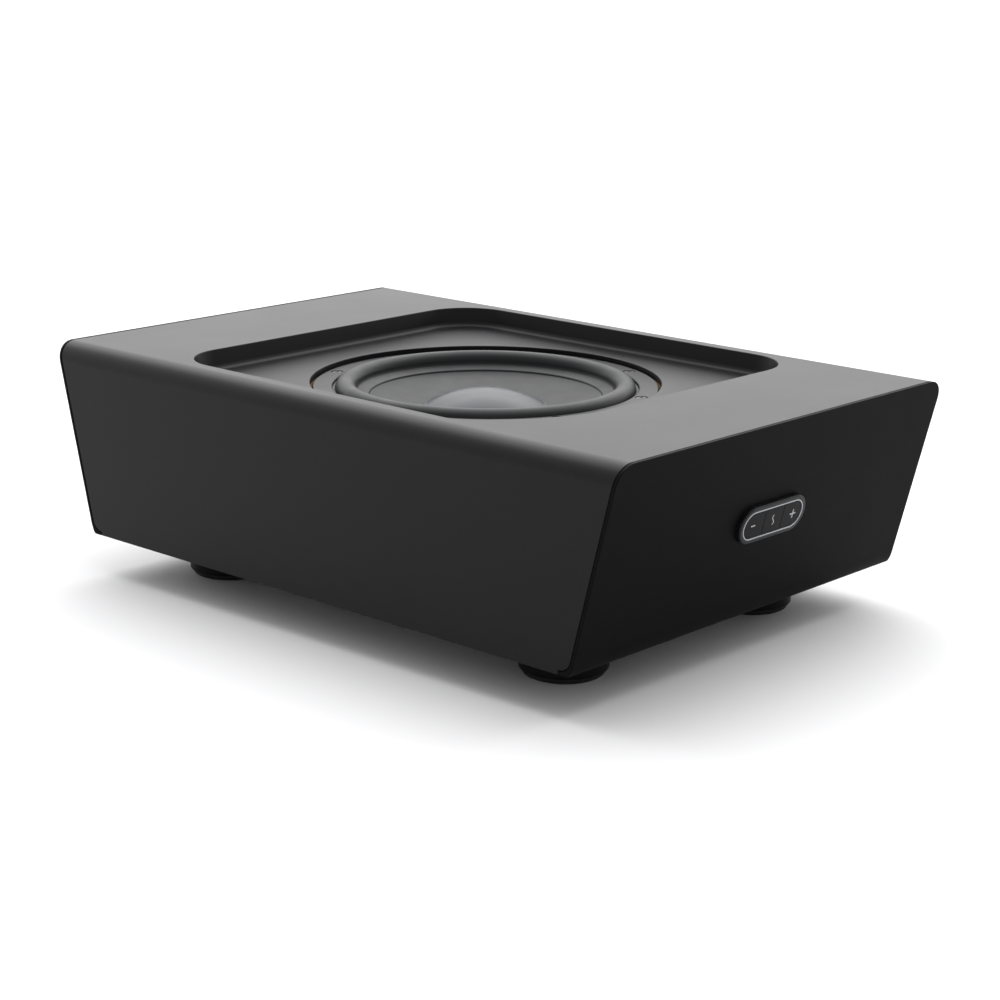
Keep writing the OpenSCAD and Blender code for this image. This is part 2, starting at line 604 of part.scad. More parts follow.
HEATSINK = [40, 56, 26];
FINS = 8;
module amp_heatsink() color("#2f3236") translate([AMP_MID[0], AMP_MID[1] - 18, DECK]) {
    translate([-HEATSINK[0] / 2, -HEATSINK[1] / 2, 0]) cube([HEATSINK[0], HEATSINK[1], 4]);
    for (i = [0:FINS - 1]) translate([-HEATSINK[0] / 2 + i * (HEATSINK[0] - 2) / (FINS - 1),
        -HEATSINK[1] / 2, 4 - EPS]) cube([2, HEATSINK[1], HEATSINK[2] - 4]);
}
module amp_coils() color("#a8652c") for (x = [-14, 10])
    translate([AMP_MID[0] + x, AMP_MID[1] + 24, DECK]) ring(10, 4, 0, 12);
module amp_capacitors() color("#23304a") for (x = [-16, -3])
    translate([AMP_MID[0] + x, AMP_MID[1] + 43, DECK]) cylinder(r = 5.5, h = 20);

module supply_transformer() color("#b58a2a") translate([SUPPLY_MID[0] + 2, SUPPLY_MID[1] - 6, DECK]) {
    translate([-20, -18, 0]) cube([40, 36, 4]);
    translate([-16, -18, 4 - EPS]) cube([32, 36, 24]);
    translate([-20, -18, 28 - 2 * EPS]) cube([40, 36, 4]);
}
module supply_capacitors() color("#23304a") for (x = [-14, 14])
    translate([SUPPLY_MID[0] + x, SUPPLY_MID[1] + 34, DECK]) cylinder(r = 11.5, h = 34);
module wireless_module() color("#9fa3a6") translate([AMP_MID[0] + 5, AMP_MID[1] + 36, DECK])
    cube([13, 14, 3]);

// ---- wiring and wadding ----
// A round wire along straight runs. Each run overshoots its bends by one radius.
module wire(points, r) for (i = [0:len(points) - 2]) {
    span = points[i + 1] - points[i];
    reach = norm(span);
    before = i > 0 ? r : 0;
    after = i < len(points) - 2 ? r : 0;
    translate(points[i]) rotate([0, acos(span[2] / reach), atan2(span[1], span[0])])
        translate([0, 0, -before]) cylinder(r = r, h = reach + before + after, $fn = 24);
}
WIRE_R = 1.4;
WIRE_END = [AMP_MID[0] + 23.5, AMP_MID[1] + 18];
module speaker_wires() color("#5a1f1f") for (s = [-1, 1]) wire([
    [TERMINAL_X - 9.5 - WIRE_R, s * 9, SHELF_Z - 1], [-118, s * 8, SHELF_Z - 21],
    [-142, s * 8 - 6, SHELF_Z - 27], [WIRE_END[0], WIRE_END[1] + s * 5, DECK + 20],
    [WIRE_END[0], WIRE_END[1] + s * 5, DECK]], WIRE_R);

CABLE_R = 2;
CABLE_Y = 17 - SLEEVE_IN;
module control_cable() color("#1a1a1b") wire([[226, -32, POD_Z - 6], [216, -60, POD_Z - 30],
    [216, CABLE_Y, PLATE_TOP + 12], [-160, CABLE_Y, PLATE_TOP + 12],
    [-168, -128, DECK + 12], [-168, -116, DECK + 8], [-168, -116, DECK]], CABLE_R);

module wadding() color("#d9d6cc") translate([148, -130, PLATE_TOP + 12]) cube([52, 260, 66]);

cabinet_sleeve();
right_end_cap();
left_end_cap();
bottom_plate();
driver_baffle();
brace_left();
brace_right();
end_cap_screws();
bottom_plate_screws();
foot_bodies();
foot_pads();
foot_screws();
driver_gasket();
driver_basket();
driver_trim_ring();
driver_screws();
surround();
cone();
dust_cap();
coil_former();
voice_coil();
spider();
top_plate();
magnet();
pole_yoke();
driver_terminals();
tinsel_leads();
control_bezel();
control_ring();
volume_down_key();
action_key();
volume_up_key();
key_switches();
control_board();
control_board_screws();
connector_tray();
mains_inlet();
mains_pins();
line_in_jacks();
jack_insulators();
status_lens();
amp_board();
amp_heatsink();
amp_coils();
amp_capacitors();
supply_board();
supply_transformer();
supply_capacitors();
wireless_module();
board_standoffs();
board_screws();
speaker_wires();
control_cable();
wadding();
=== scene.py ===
"""Looks of a low-profile wireless subwoofer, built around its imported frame.

Shapes are drawn in millimetres and turned to metres when a piece is made. Each sub-assembly is a
class that holds its sizes, builds its meshes and dresses them. Each finish is a frozen dataclass.
"""

import logging  # noqa: E402
import math  # noqa: E402
from dataclasses import dataclass, field  # noqa: E402
from enum import Enum  # noqa: E402

import bmesh  # noqa: E402
import bpy  # noqa: E402
from mathutils import Matrix, Vector  # noqa: E402
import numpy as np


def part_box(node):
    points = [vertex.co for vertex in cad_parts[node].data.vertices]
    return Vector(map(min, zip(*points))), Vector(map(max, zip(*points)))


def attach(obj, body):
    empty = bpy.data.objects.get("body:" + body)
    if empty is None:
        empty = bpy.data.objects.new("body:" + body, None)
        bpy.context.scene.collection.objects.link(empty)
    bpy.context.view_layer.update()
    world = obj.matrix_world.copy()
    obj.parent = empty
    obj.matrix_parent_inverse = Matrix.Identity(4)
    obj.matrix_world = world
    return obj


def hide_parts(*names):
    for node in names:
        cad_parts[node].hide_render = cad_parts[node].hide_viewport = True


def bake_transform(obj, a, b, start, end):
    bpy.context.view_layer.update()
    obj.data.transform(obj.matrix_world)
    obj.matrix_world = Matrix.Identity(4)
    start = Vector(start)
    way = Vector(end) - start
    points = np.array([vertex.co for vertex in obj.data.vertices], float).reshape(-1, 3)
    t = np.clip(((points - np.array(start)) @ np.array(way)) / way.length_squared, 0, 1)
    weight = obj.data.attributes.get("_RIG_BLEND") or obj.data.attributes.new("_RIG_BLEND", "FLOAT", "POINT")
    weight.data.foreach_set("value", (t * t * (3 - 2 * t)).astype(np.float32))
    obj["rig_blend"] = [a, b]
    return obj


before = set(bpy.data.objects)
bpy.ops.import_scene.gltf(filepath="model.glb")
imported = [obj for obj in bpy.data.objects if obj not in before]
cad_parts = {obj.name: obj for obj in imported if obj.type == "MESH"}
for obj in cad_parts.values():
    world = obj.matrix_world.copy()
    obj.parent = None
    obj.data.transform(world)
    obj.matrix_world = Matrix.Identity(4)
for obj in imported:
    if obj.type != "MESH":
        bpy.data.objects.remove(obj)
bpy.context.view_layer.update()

LOG = logging.getLogger("subwoofer")
MM = 0.001
MERGE_MM = 0.001
Edges = list[bmesh.types.BMEdge]


# ---------------------------------------------------------------- finishes
def linear(code: str) -> tuple[float, float, float, float]:
    """Turns an sRGB hex colour to the linear colour that a shader takes.

    Args:
        code: Six hex digits after a hash sign.

    Returns:
        Red, green, blue and a full alpha, linear.
    """
    parts = [int(code[i : i + 2], 16) / 255 for i in (1, 3, 5)]
    low = [c / 12.92 if c <= 0.04045 else ((c + 0.055) / 1.055) ** 2.4 for c in parts]
    return low[0], low[1], low[2], 1.0


def add_node(tree: bpy.types.NodeTree, kind: str, settings: dict | None = None, **inputs: object) -> bpy.types.Node:
    """Adds a node with its settings and links.

    Args:
        tree: The node tree.
        kind: The node's type name.
        settings: Properties of the node.
        **inputs: Values or output sockets for inputs, by name with _ for a space, or in0, in1 by place.

    Returns:
        The new node.
    """
    node = tree.nodes.new(kind)
    for name, value in (settings or {}).items():
        setattr(node, name, value)
    for name, value in inputs.items():
        key = int(name[2:]) if name[:2] == "in" and name[2:].isdigit() else name.replace("_", " ")
        if isinstance(value, bpy.types.NodeSocket):
            tree.links.new(value, node.inputs[key])
        else:
            node.inputs[key].default_value = value
    return node


class Pattern(Enum):
    """How a surface was made, which sets the pattern of its relief."""

    LACQUER = "sprayed and cured, with a faint orange peel"
    SPARKED = "moulded in a spark-eroded tool, with an even fine grain"
    MOULDED = "moulded smooth"
    FIBRED = "felted from fibres"
    TURNED = "turned or wound, with fine rings round the upright axis"
    BRUSHED = "brushed along one way"
    CHIPPED = "pressed from fine chips"
    WOVEN = "woven, with threads along two ways"


@dataclass(frozen=True)
class Finish:
    """One real finish and how its nodes are set.

    Attributes:
        name: The finish, in a maker's words.
        colour: Base colour, sRGB hex.
        second: Colour that the base drifts towards in patches, sRGB hex.
        roughness: Middle roughness.
        spread: How far roughness drifts each way.
        pattern: How the surface was made.
        grain_mm: Size of the pattern's grain.
        depth_mm: Depth of the relief.
        patch_mm: Size of the patches of colour and gloss.
        metallic: Share of metal.
        ior: Index of refraction of a non-metal.
        specular: Level of its mirror reflection, with 0.5 for a clean surface.
        coat: Weight of a clear coat.
        sheen: Weight of a fuzzy sheen.
    """

    name: str
    colour: str
    second: str
    roughness: float
    spread: float
    pattern: Pattern
    grain_mm: float
    depth_mm: float
    patch_mm: float = 35.0
    metallic: float = 0.0
    ior: float = 1.5
    specular: float = 0.5
    coat: float = 0.0
    sheen: float = 0.0

    def _relief(self, tree: bpy.types.NodeTree, place: bpy.types.NodeSocket) -> bpy.types.NodeSocket:
        """The height socket of the pattern.

        Args:
            tree: The material's nodes.
            place: Object coordinates.

        Returns:
            A socket from 0 to 1.
        """
        scale = 1 / (self.grain_mm * MM)
        if self.pattern in (Pattern.TURNED, Pattern.WOVEN):
            wave = {"wave_type": "BANDS", "bands_direction": "X"}
            if self.pattern is Pattern.TURNED:
                wave = {"wave_type": "RINGS", "rings_direction": "Z"}
            # a wave node's period is 20 pi divided by its scale, in its own units
            rings = add_node(
                tree, "ShaderNodeTexWave", wave, Vector=place, Scale=scale / 3.18, Distortion=0.6, Detail=1.0
            )
            if self.pattern is Pattern.TURNED:
                return rings.outputs["Fac"]
            weft = add_node(
                tree,
                "ShaderNodeTexWave",
                {"wave_type": "BANDS", "bands_direction": "Y"},
                Vector=place,
                Scale=scale / 3.18,
                Distortion=0.6,
            )
            both = add_node(
                tree, "ShaderNodeMath", {"operation": "MAXIMUM"}, in0=rings.outputs["Fac"], in1=weft.outputs["Fac"]
            )
            return both.outputs[0]
        stretch = {Pattern.BRUSHED: (0.04, 1.0, 1.0), Pattern.FIBRED: (1.0, 0.35, 1.0)}.get(self.pattern, (1, 1, 1))
        mapped = add_node(tree, "ShaderNodeMapping", None, Vector=place, Scale=stretch)
        detail = {Pattern.LACQUER: 1.0, Pattern.MOULDED: 1.0, Pattern.SPARKED: 4.0}.get(self.pattern, 5.0)
        twist = {Pattern.FIBRED: 1.8, Pattern.CHIPPED: 0.8}.get(self.pattern, 0.0)
        noise = add_node(
            tree,
            "ShaderNodeTexNoise",
            None,
            Vector=mapped.outputs[0],
            Scale=scale,
            Detail=detail,
            Distortion=twist,
        )
        return noise.outputs["Fac"]

    def build(self) -> bpy.types.Material:
        """Makes the material once and returns it on every later call."""
        found = bpy.data.materials.get(self.name)
        if found:
            return found
        material = bpy.data.materials.new(self.name)
        material.use_nodes = True
        tree = material.node_tree
        tree.nodes.clear()
        place = add_node(tree, "ShaderNodeTexCoord").outputs["Object"]
        relief = self._relief(tree, place)
        patches = add_node(
            tree, "ShaderNodeTexNoise", None, Vector=place, Scale=1 / (self.patch_mm * MM), Detail=3.0, Roughness=0.55
        ).outputs["Fac"]
        drift = add_node(
            tree, "ShaderNodeMapRange", None, Value=patches, From_Min=0.3, From_Max=0.7, To_Min=0.0, To_Max=1.0
        ).outputs[0]
        fleck = add_node(
            tree, "ShaderNodeMath", {"operation": "MULTIPLY_ADD", "use_clamp": True}, in0=relief, in1=0.35, in2=drift
        ).outputs[0]
        colour = add_node(tree, "ShaderNodeMix", {"data_type": "RGBA"})
        tree.links.new(fleck, colour.inputs[0])
        colour.inputs[6].default_value = linear(self.colour)
        colour.inputs[7].default_value = linear(self.second)
        gloss = add_node(
            tree,
            "ShaderNodeMapRange",
            None,
            Value=fleck,
            From_Min=0.0,
            From_Max=1.0,
            To_Min=self.roughness - self.spread,
            To_Max=self.roughness + self.spread,
        ).outputs[0]
        bump = add_node(
            tree, "ShaderNodeBump", None, Height=relief, Strength=1.0, Distance=self.depth_mm * MM
        ).outputs[0]
        shader = add_node(
            tree,
            "ShaderNodeBsdfPrincipled",
            None,
            Base_Color=colour.outputs[2],
            Roughness=gloss,
            Normal=bump,
            Metallic=self.metallic,
            IOR=self.ior,
            Specular_IOR_Level=self.specular,
            Coat_Weight=self.coat,
            Coat_Roughness=0.12,
            Sheen_Weight=self.sheen,
        )
        add_node(tree, "ShaderNodeOutputMaterial", None, Surface=shader.outputs[0])
        return material


# Two-pack satin lacquer on a moulded shell: soft broad highlights, deep charcoal face on.
SATIN_LACQUER = Finish(
    "satin charcoal lacquer", "#0e0e10", "#101012", 0.38, 0.01, Pattern.LACQUER, 2.2, 0.004, 60, specular=0.13
)
# Spark-grained ABS end caps: flatter and blacker than the lacquer beside them.
GRAINED_ABS = Finish(
    "grained black ABS", "#09090a", "#0b0b0c", 0.5, 0.02, Pattern.SPARKED, 0.9, 0.02, 40, specular=0.03
)
# The same lacquer as the shell, on the small trim ring.
TRIM_LACQUER = Finish(
    "satin charcoal trim lacquer", "#131315", "#161618", 0.38, 0.02, Pattern.LACQUER, 1.6, 0.004, 40, specular=0.12
)
# Butyl rubber roll: dark, with a broad dull highlight.
BUTYL_RUBBER = Finish(
    "butyl rubber", "#121314", "#161719", 0.42, 0.04, Pattern.MOULDED, 1.4, 0.008, 18, specular=0.16
)
# Talc-filled polypropylene cone: satin with a faint felted look.
FILLED_CONE = Finish(
    "filled polypropylene cone", "#131416", "#17181a", 0.4, 0.03, Pattern.FIBRED, 1.8, 0.01, 16, specular=0.12
)
# The dust cap is the same plastic, pressed smoother; its base colour is painted lighter and bluer than the cone's, as a
# painted cold sheen.
PAINTED_SHEEN_CAP = Finish(
    "pressed polypropylene cap with painted sheen", "#1e2127", "#22252b", 0.32, 0.03, Pattern.MOULDED, 2.0, 0.004, 20, specular=0.2
)
# Moulded ABS with a satin polish round the keys.
POLISHED_ABS = Finish(
    "satin black ABS", "#0d0d0e", "#111113", 0.28, 0.04, Pattern.MOULDED, 1.2, 0.003, 14, specular=0.15
)
KEY_ABS = Finish(
    "smooth black key ABS", "#0b0b0c", "#0f0f11", 0.34, 0.04, Pattern.MOULDED, 1.0, 0.003, 9, specular=0.06
)
# Satin-anodised aluminium ring, brushed along its length.
ANODISED_RING = Finish(
    "satin anodised aluminium", "#8d8f93", "#9c9ea2", 0.34, 0.06, Pattern.BRUSHED, 0.6, 0.003, 8, metallic=1.0
)
# Screen-printed marks in a pale grey ink.
PRINT_INK = Finish("pale grey print ink", "#9a9ca0", "#a6a8ac", 0.55, 0.04, Pattern.MOULDED, 0.5, 0.001, 5)
# Glass-filled nylon feet: dull, with a slight grain.
FOOT_NYLON = Finish(
    "black nylon", "#080809", "#0b0b0c", 0.42, 0.06, Pattern.SPARKED, 0.9, 0.015, 15, specular=0.1
)
FOOT_RUBBER = Finish(
    "black nitrile rubber", "#0c0c0c", "#121212", 0.62, 0.06, Pattern.SPARKED, 0.8, 0.02, 12, specular=0.3
)
# Black-oxided steel screws.
BLACK_OXIDE = Finish(
    "black-oxided steel", "#17171a", "#202024", 0.38, 0.08, Pattern.TURNED, 0.5, 0.003, 4, metallic=0.7
)
ZINC_STEEL = Finish(
    "zinc-plated steel", "#9a9b9f", "#aeb0b3", 0.32, 0.08, Pattern.TURNED, 0.7, 0.004, 12, metallic=1.0
)
TURNED_STEEL = Finish(
    "turned and plated motor steel", "#8b8d91", "#a0a2a6", 0.34, 0.08, Pattern.TURNED, 1.2, 0.008, 20, metallic=1.0
)
FERRITE = Finish("sintered ferrite", "#26262a", "#313136", 0.66, 0.08, Pattern.CHIPPED, 1.0, 0.03, 14)
CAST_BASKET = Finish(
    "powder-coated die casting", "#1c1d1f", "#242527", 0.55, 0.06, Pattern.SPARKED, 1.4, 0.03, 20, specular=0.4
)
FOAM = Finish("closed-cell foam", "#1b1b1c", "#262627", 0.85, 0.06, Pattern.CHIPPED, 0.9, 0.08, 6)
RAW_BOARD = Finish("raw fibreboard", "#8d6c46", "#a27f56", 0.8, 0.06, Pattern.CHIPPED, 1.1, 0.04, 22)
AMBER_FILM = Finish("amber polyimide film", "#a5711f", "#b9822b", 0.3, 0.05, Pattern.MOULDED, 2.0, 0.003, 10)
COPPER_WIRE = Finish(
    "enamelled copper wire", "#9d5527", "#b56a36", 0.32, 0.06, Pattern.BRUSHED, 0.5, 0.03, 5, metallic=0.8
)
DIPPED_CLOTH = Finish(
    "resin-dipped cotton weave", "#a8863f", "#bf9c52", 0.78, 0.06, Pattern.WOVEN, 1.2, 0.12, 12, sheen=0.2
)
PLATED_BRASS = Finish(
    "gold-plated brass", "#b59342", "#c8a858", 0.26, 0.06, Pattern.TURNED, 0.6, 0.003, 6, metallic=1.0
)
BRAID = Finish(
    "braided copper lead", "#8d6234", "#b07e48", 0.42, 0.08, Pattern.WOVEN, 0.6, 0.08, 4, metallic=0.9
)
SOLDER_MASK = Finish(
    "green solder mask", "#0f4a2a", "#166138", 0.3, 0.06, Pattern.WOVEN, 1.6, 0.01, 9, coat=0.4
)
BLACK_NYLON = Finish(
    "black nylon moulding", "#0f0f10", "#151517", 0.38, 0.05, Pattern.SPARKED, 0.8, 0.01, 12, specular=0.4
)
NICKEL = Finish(
    "nickel-plated pins", "#b4b2ab", "#c4c2bb", 0.22, 0.06, Pattern.BRUSHED, 0.5, 0.002, 4, metallic=1.0
)
FROSTED_LENS = Finish(
    "frosted polycarbonate", "#c2c8cc", "#d2d7da", 0.36, 0.04, Pattern.MOULDED, 0.8, 0.004, 4, ior=1.58
)
ANODISED_SINK = Finish(
    "black-anodised extrusion", "#202225", "#2a2c30", 0.42, 0.06, Pattern.BRUSHED, 0.8, 0.02, 14, metallic=0.8
)
CAN_SLEEVE = Finish(
    "printed capacitor sleeve", "#1b2740", "#24324f", 0.3, 0.05, Pattern.MOULDED, 1.5, 0.004, 9, coat=0.3
)
CORE_TAPE = Finish("yellow winding tape", "#b08c22", "#c39d32", 0.38, 0.06, Pattern.BRUSHED, 1.0, 0.02, 10)
TINNED_CAN = Finish(
    "tinned shield can", "#9b9ea1", "#abaeb1", 0.3, 0.06, Pattern.BRUSHED, 0.8, 0.004, 8, metallic=1.0
)
PVC_RED = Finish("red PVC sheath", "#5c1a18", "#6b2420", 0.42, 0.05, Pattern.MOULDED, 1.2, 0.006, 7)
PVC_BLACK = Finish("black PVC sheath", "#141415", "#1b1b1c", 0.45, 0.05, Pattern.MOULDED, 1.2, 0.006, 7)
WADDING = Finish("polyester wadding", "#cfcbbf", "#dedacf", 0.9, 0.05, Pattern.FIBRED, 2.4, 0.5, 9, sheen=0.5)

CAD_FINISHES: dict[str, Finish] = {
    "bottom_plate": GRAINED_ABS,
    "driver_baffle": RAW_BOARD,
    "brace_left": RAW_BOARD,
    "brace_right": RAW_BOARD,
    "end_cap_screws": BLACK_OXIDE,
    "bottom_plate_screws": BLACK_OXIDE,
    "foot_screws": ZINC_STEEL,
    "driver_gasket": FOAM,
    "driver_basket": CAST_BASKET,
    "coil_former": AMBER_FILM,
    "voice_coil": COPPER_WIRE,
    "top_plate": TURNED_STEEL,
    "magnet": FERRITE,
    "pole_yoke": TURNED_STEEL,
    "driver_terminals": PLATED_BRASS,
    "key_switches": BLACK_NYLON,
    "control_board": SOLDER_MASK,
    "control_board_screws": ZINC_STEEL,
    "mains_inlet": BLACK_NYLON,
    "mains_pins": NICKEL,
    "line_in_jacks": PLATED_BRASS,
    "jack_insulators": BLACK_NYLON,
    "status_lens": FROSTED_LENS,
    "amp_board": SOLDER_MASK,
    "amp_heatsink": ANODISED_SINK,
    "amp_coils": COPPER_WIRE,
    "amp_capacitors": CAN_SLEEVE,
    "supply_board": SOLDER_MASK,
    "supply_transformer": CORE_TAPE,
    "supply_capacitors": CAN_SLEEVE,
    "wireless_module": TINNED_CAN,
    "board_standoffs": PLATED_BRASS,
    "board_screws": ZINC_STEEL,
    "speaker_wires": PVC_RED,
    "control_cable": PVC_BLACK,
    "wadding": WADDING,
}


# ---------------------------------------------------------------- mesh helpers
def only(geom: list, kind: type) -> list:
    """The items of one kind among an operator's results."""
    return [g for g in geom if isinstance(g, kind)]


def round_off(
    bm: bmesh.types.BMesh, geom: list, offset: float, segments: int, affect: str = "VERTICES", clamp: bool = False
) -> None:
    """Rounds corners or edges off.

    Args:
        bm: The mesh.
        geom: The corners or edges.
        offset: Width of the rounding on each side.
        segments: Steps across it.
        affect: "VERTICES" or "EDGES".
        clamp: Whether roundings that would meet are narrowed.
    """
    bmesh.ops.bevel(
        bm,
        geom=geom,
        offset=offset,
        offset_type="OFFSET",
        segments=segments,
        profile=0.5,
        affect=affect,
        clamp_overlap=clamp,
        material=-1,
    )


def add_drum(
    bm: bmesh.types.BMesh, radius: float, low: float, high: float, y: float = 0.0, segments: int = 40
) -> None:
    """Adds an upright closed cylinder.

    Args:
        bm: The mesh it is added to.
        radius: Its radius.
        low: Height of its foot.
        high: Height of its top.
        y: Where its axis stands along Y.
        segments: Steps round it.
    """
    bmesh.ops.create_cone(
        bm,
        cap_ends=True,
        segments=segments,
        radius1=radius,
        radius2=radius,
        depth=high - low,
        matrix=Matrix.Translation((0, y, (low + high) / 2)),
    )


def block(size: tuple[float, float, float], middle: tuple[float, float, float], turn: float = 0.0) -> bmesh.types.BMesh:
    """Makes a block.

    Args:
        size: Its three sizes.
        middle: Where its middle is.
        turn: Its turn about the upright axis.

    Returns:
        The mesh.
    """
    bm = bmesh.new()
    spot = Matrix.Translation(middle) @ Matrix.Rotation(turn, 4, "Z") @ Matrix.Diagonal((*size, 1))
    bmesh.ops.create_cube(bm, size=1, matrix=spot)
    return bm


def outline_rect(
    bm: bmesh.types.BMesh, length: float, width: float, radius: float, z: float, segments: int = 10
) -> Edges:
    """Draws a rounded rectangle, flat at height z.

    Args:
        bm: The mesh it is drawn in.
        length: Size along X.
        width: Size along Y.
        radius: Corner radius.
        z: Height.
        segments: Steps in each corner.

    Returns:
        Its edges, with no face.
    """
    had = set(bm.edges)
    signs = ((-1, -1), (1, -1), (1, 1), (-1, 1))
    corners = [bm.verts.new((sx * length / 2, sy * width / 2, z)) for sx, sy in signs]
    bm.faces.new(corners)
    round_off(bm, corners, radius, segments)
    edges = [e for e in bm.edges if e not in had]
    drawn = {f for e in edges for f in e.link_faces}
    bmesh.ops.delete(bm, geom=list(drawn), context="FACES_ONLY")
    return edges


def outline_round(bm: bmesh.types.BMesh, radius: float, z: float, segments: int = 192) -> Edges:
    """Draws a circle round the upright axis and returns its edges."""
    made = bmesh.ops.create_circle(
        bm, cap_ends=False, radius=radius, segments=segments, matrix=Matrix.Translation((0, 0, z))
    )
    return list({e for v in made["verts"] for e in v.link_edges})


def outline_obround(bm: bmesh.types.BMesh, length: float, width: float, z: float, segments: int = 64) -> Edges:
    """Draws two half circles joined by straight runs along Y, and returns the edges."""
    half_step = Matrix.Rotation(math.pi / segments, 4, "Z")
    made = bmesh.ops.create_circle(
        bm, cap_ends=False, radius=width / 2, segments=segments, matrix=Matrix.Translation((0, 0, z)) @ half_step
    )
    for v in made["verts"]:
        v.co.y += math.copysign((length - width) / 2, v.co.y)
    return list({e for v in made["verts"] for e in v.link_edges})


def loft(bm: bmesh.types.BMesh, loops: list[Edges], cap_first: bool = False, cap_last: bool = False) -> None:
    """Joins outlines one to the next with faces.

    Args:
        bm: The mesh that holds them.
        loops: Outlines with equal numbers of edges.
        cap_first: Whether the first outline gets a flat face.
        cap_last: Whether the last one does.
    """
    bm.edges.index_update()
    rims = [sorted(loop, key=lambda e: e.index) for loop in loops]
    for one, other in zip(rims, rims[1:]):
        for near, far in zip(one, other):
            bm.faces.new((near.verts[0], near.verts[1], far.verts[1], far.verts[0]))
    for wanted, loop in ((cap_first, loops[0]), (cap_last, loops[-1])):
        if wanted:
            bmesh.ops.contextual_create(bm, geom=loop)


def soften(bm: bmesh.types.BMesh, width: float, angle: float = 50, segments: int = 2, among: set | None = None) -> None:
    """Rounds every edge that is sharper than an angle.

    Args:
        bm: The mesh.
        width: Width of the rounding on each side of an edge.
        angle: Least angle between the two faces, in degrees.
        segments: Steps across the rounding.
        among: Only edges between these vertices, if given.
    """
    bmesh.ops.recalc_face_normals(bm, faces=bm.faces)
    sharp = [
        e
        for e in bm.edges
        if len(e.link_faces) == 2
        and e.calc_face_angle(0) > math.radians(angle)
        and (among is None or all(v in among for v in e.verts))
    ]
    round_off(bm, sharp, width, segments, "EDGES", clamp=True)


def repeat_at(bm: bmesh.types.BMesh, places: list[tuple[float, float]]) -> None:
    """Copies all of a mesh to each place and leaves none at the origin."""
    first = list(bm.verts) + list(bm.edges) + list(bm.faces)
    for x, y in places[1:]:
        made = bmesh.ops.duplicate(bm, geom=first)
        bmesh.ops.translate(bm, verts=only(made["geom"], bmesh.types.BMVert), vec=(x, y, 0))
    bmesh.ops.translate(bm, verts=only(first, bmesh.types.BMVert), vec=(*places[0], 0))


def repeat_round(bm: bmesh.types.BMesh, count: int) -> None:
    """Copies all of a mesh to count even places round the upright axis."""
    geom = list(bm.verts) + list(bm.edges) + list(bm.faces)
    bmesh.ops.spin(
        bm,
        geom=geom,
        cent=(0, 0, 0),
        axis=(0, 0, 1),
        angle=2 * math.pi * (count - 1) / count,
        steps=count - 1,
        use_duplicate=True,
        use_merge=False,
    )


def loose_mesh(bm: bmesh.types.BMesh, name: str) -> bpy.types.Object:
    """Turns a mesh to an object in millimetres, for cutting, and frees the mesh."""
    bmesh.ops.remove_doubles(bm, verts=bm.verts, dist=MERGE_MM)
    bmesh.ops.recalc_face_normals(bm, faces=bm.faces)
    mesh = bpy.data.meshes.new(name)
    bm.to_mesh(mesh)
    bm.free()
    thing = bpy.data.objects.new(name, mesh)
    bpy.context.scene.collection.objects.link(thing)
    return thing


def cut(bm: bmesh.types.BMesh, *cutters: bmesh.types.BMesh) -> bmesh.types.BMesh:
    """Cuts closed shapes out of a closed mesh.

    Args:
        bm: The mesh to cut, which is freed.
        *cutters: The shapes to take away, which are freed.

    Returns:
        A new mesh.
    """
    body = loose_mesh(bm, "being_cut")
    tools = [loose_mesh(c, "cutter") for c in cutters]
    for tool in tools:
        step = body.modifiers.new("cut", "BOOLEAN")
        step.operation = "DIFFERENCE"
        step.solver = "EXACT"
        step.object = tool
    shown = body.evaluated_get(bpy.context.evaluated_depsgraph_get())
    result = bmesh.new()
    result.from_mesh(shown.to_mesh())
    shown.to_mesh_clear()
    for thing in [body, *tools]:
        mesh = thing.data
        bpy.data.objects.remove(thing)
        bpy.data.meshes.remove(mesh)
    bmesh.ops.dissolve_limit(
        result, angle_limit=math.radians(0.5), verts=result.verts, edges=result.edges, use_dissolve_boundaries=False
    )
    return result


def make_piece(
    bm: bmesh.types.BMesh,
    name: str,
    body: str | None,
    finish: Finish,
    replaces: tuple[str, ...] = (),
    place: Matrix | None = None,
    crease: float = 32,
    grown: bool = True,
) -> bpy.types.Object:
    """Turns a mesh in millimetres to a finished piece in metres.

    Args:
        bm: The mesh, which is freed.
        name: The piece's name.
        body: The body it rides on, or None if it is blended afterwards.
        finish: Its finish.
        replaces: CAD nodes that it stands for.
        place: Where its own frame lies, in millimetres.
        crease: Edges sharper than this stay sharp, in degrees.
        grown: Whether the larger faces set the normals.

    Returns:
        The piece.
    """
    bmesh.ops.remove_doubles(bm, verts=bm.verts, dist=MERGE_MM)
    bmesh.ops.delete(bm, geom=[e for e in bm.edges if not e.link_faces], context="EDGES")
    if place is not None:
        bm.transform(place)
    bm.transform(Matrix.Scale(MM, 4))
    bmesh.ops.recalc_face_normals(bm, faces=bm.faces)
    if bm.calc_volume(signed=True) < 0:
        bmesh.ops.reverse_faces(bm, faces=bm.faces)
    open_edges = sum(len(e.link_faces) != 2 for e in bm.edges)
    mesh = bpy.data.meshes.new(name)
    bm.to_mesh(mesh)
    bm.free()
    mesh.shade_smooth()
    mesh.set_sharp_from_angle(angle=math.radians(crease))
    piece = bpy.data.objects.new(name, mesh)
    bpy.context.scene.collection.objects.link(piece)
    mesh.materials.append(finish.build())
    if grown:
        normals = piece.modifiers.new("normals", "WEIGHTED_NORMAL")
        normals.keep_sharp = True
        normals.weight = 100
    if replaces:
        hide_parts(*replaces)
    if body:
        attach(piece, body)
    LOG.info("%s: %d faces, %d open edges", name, len(mesh.polygons), open_edges)
    return piece


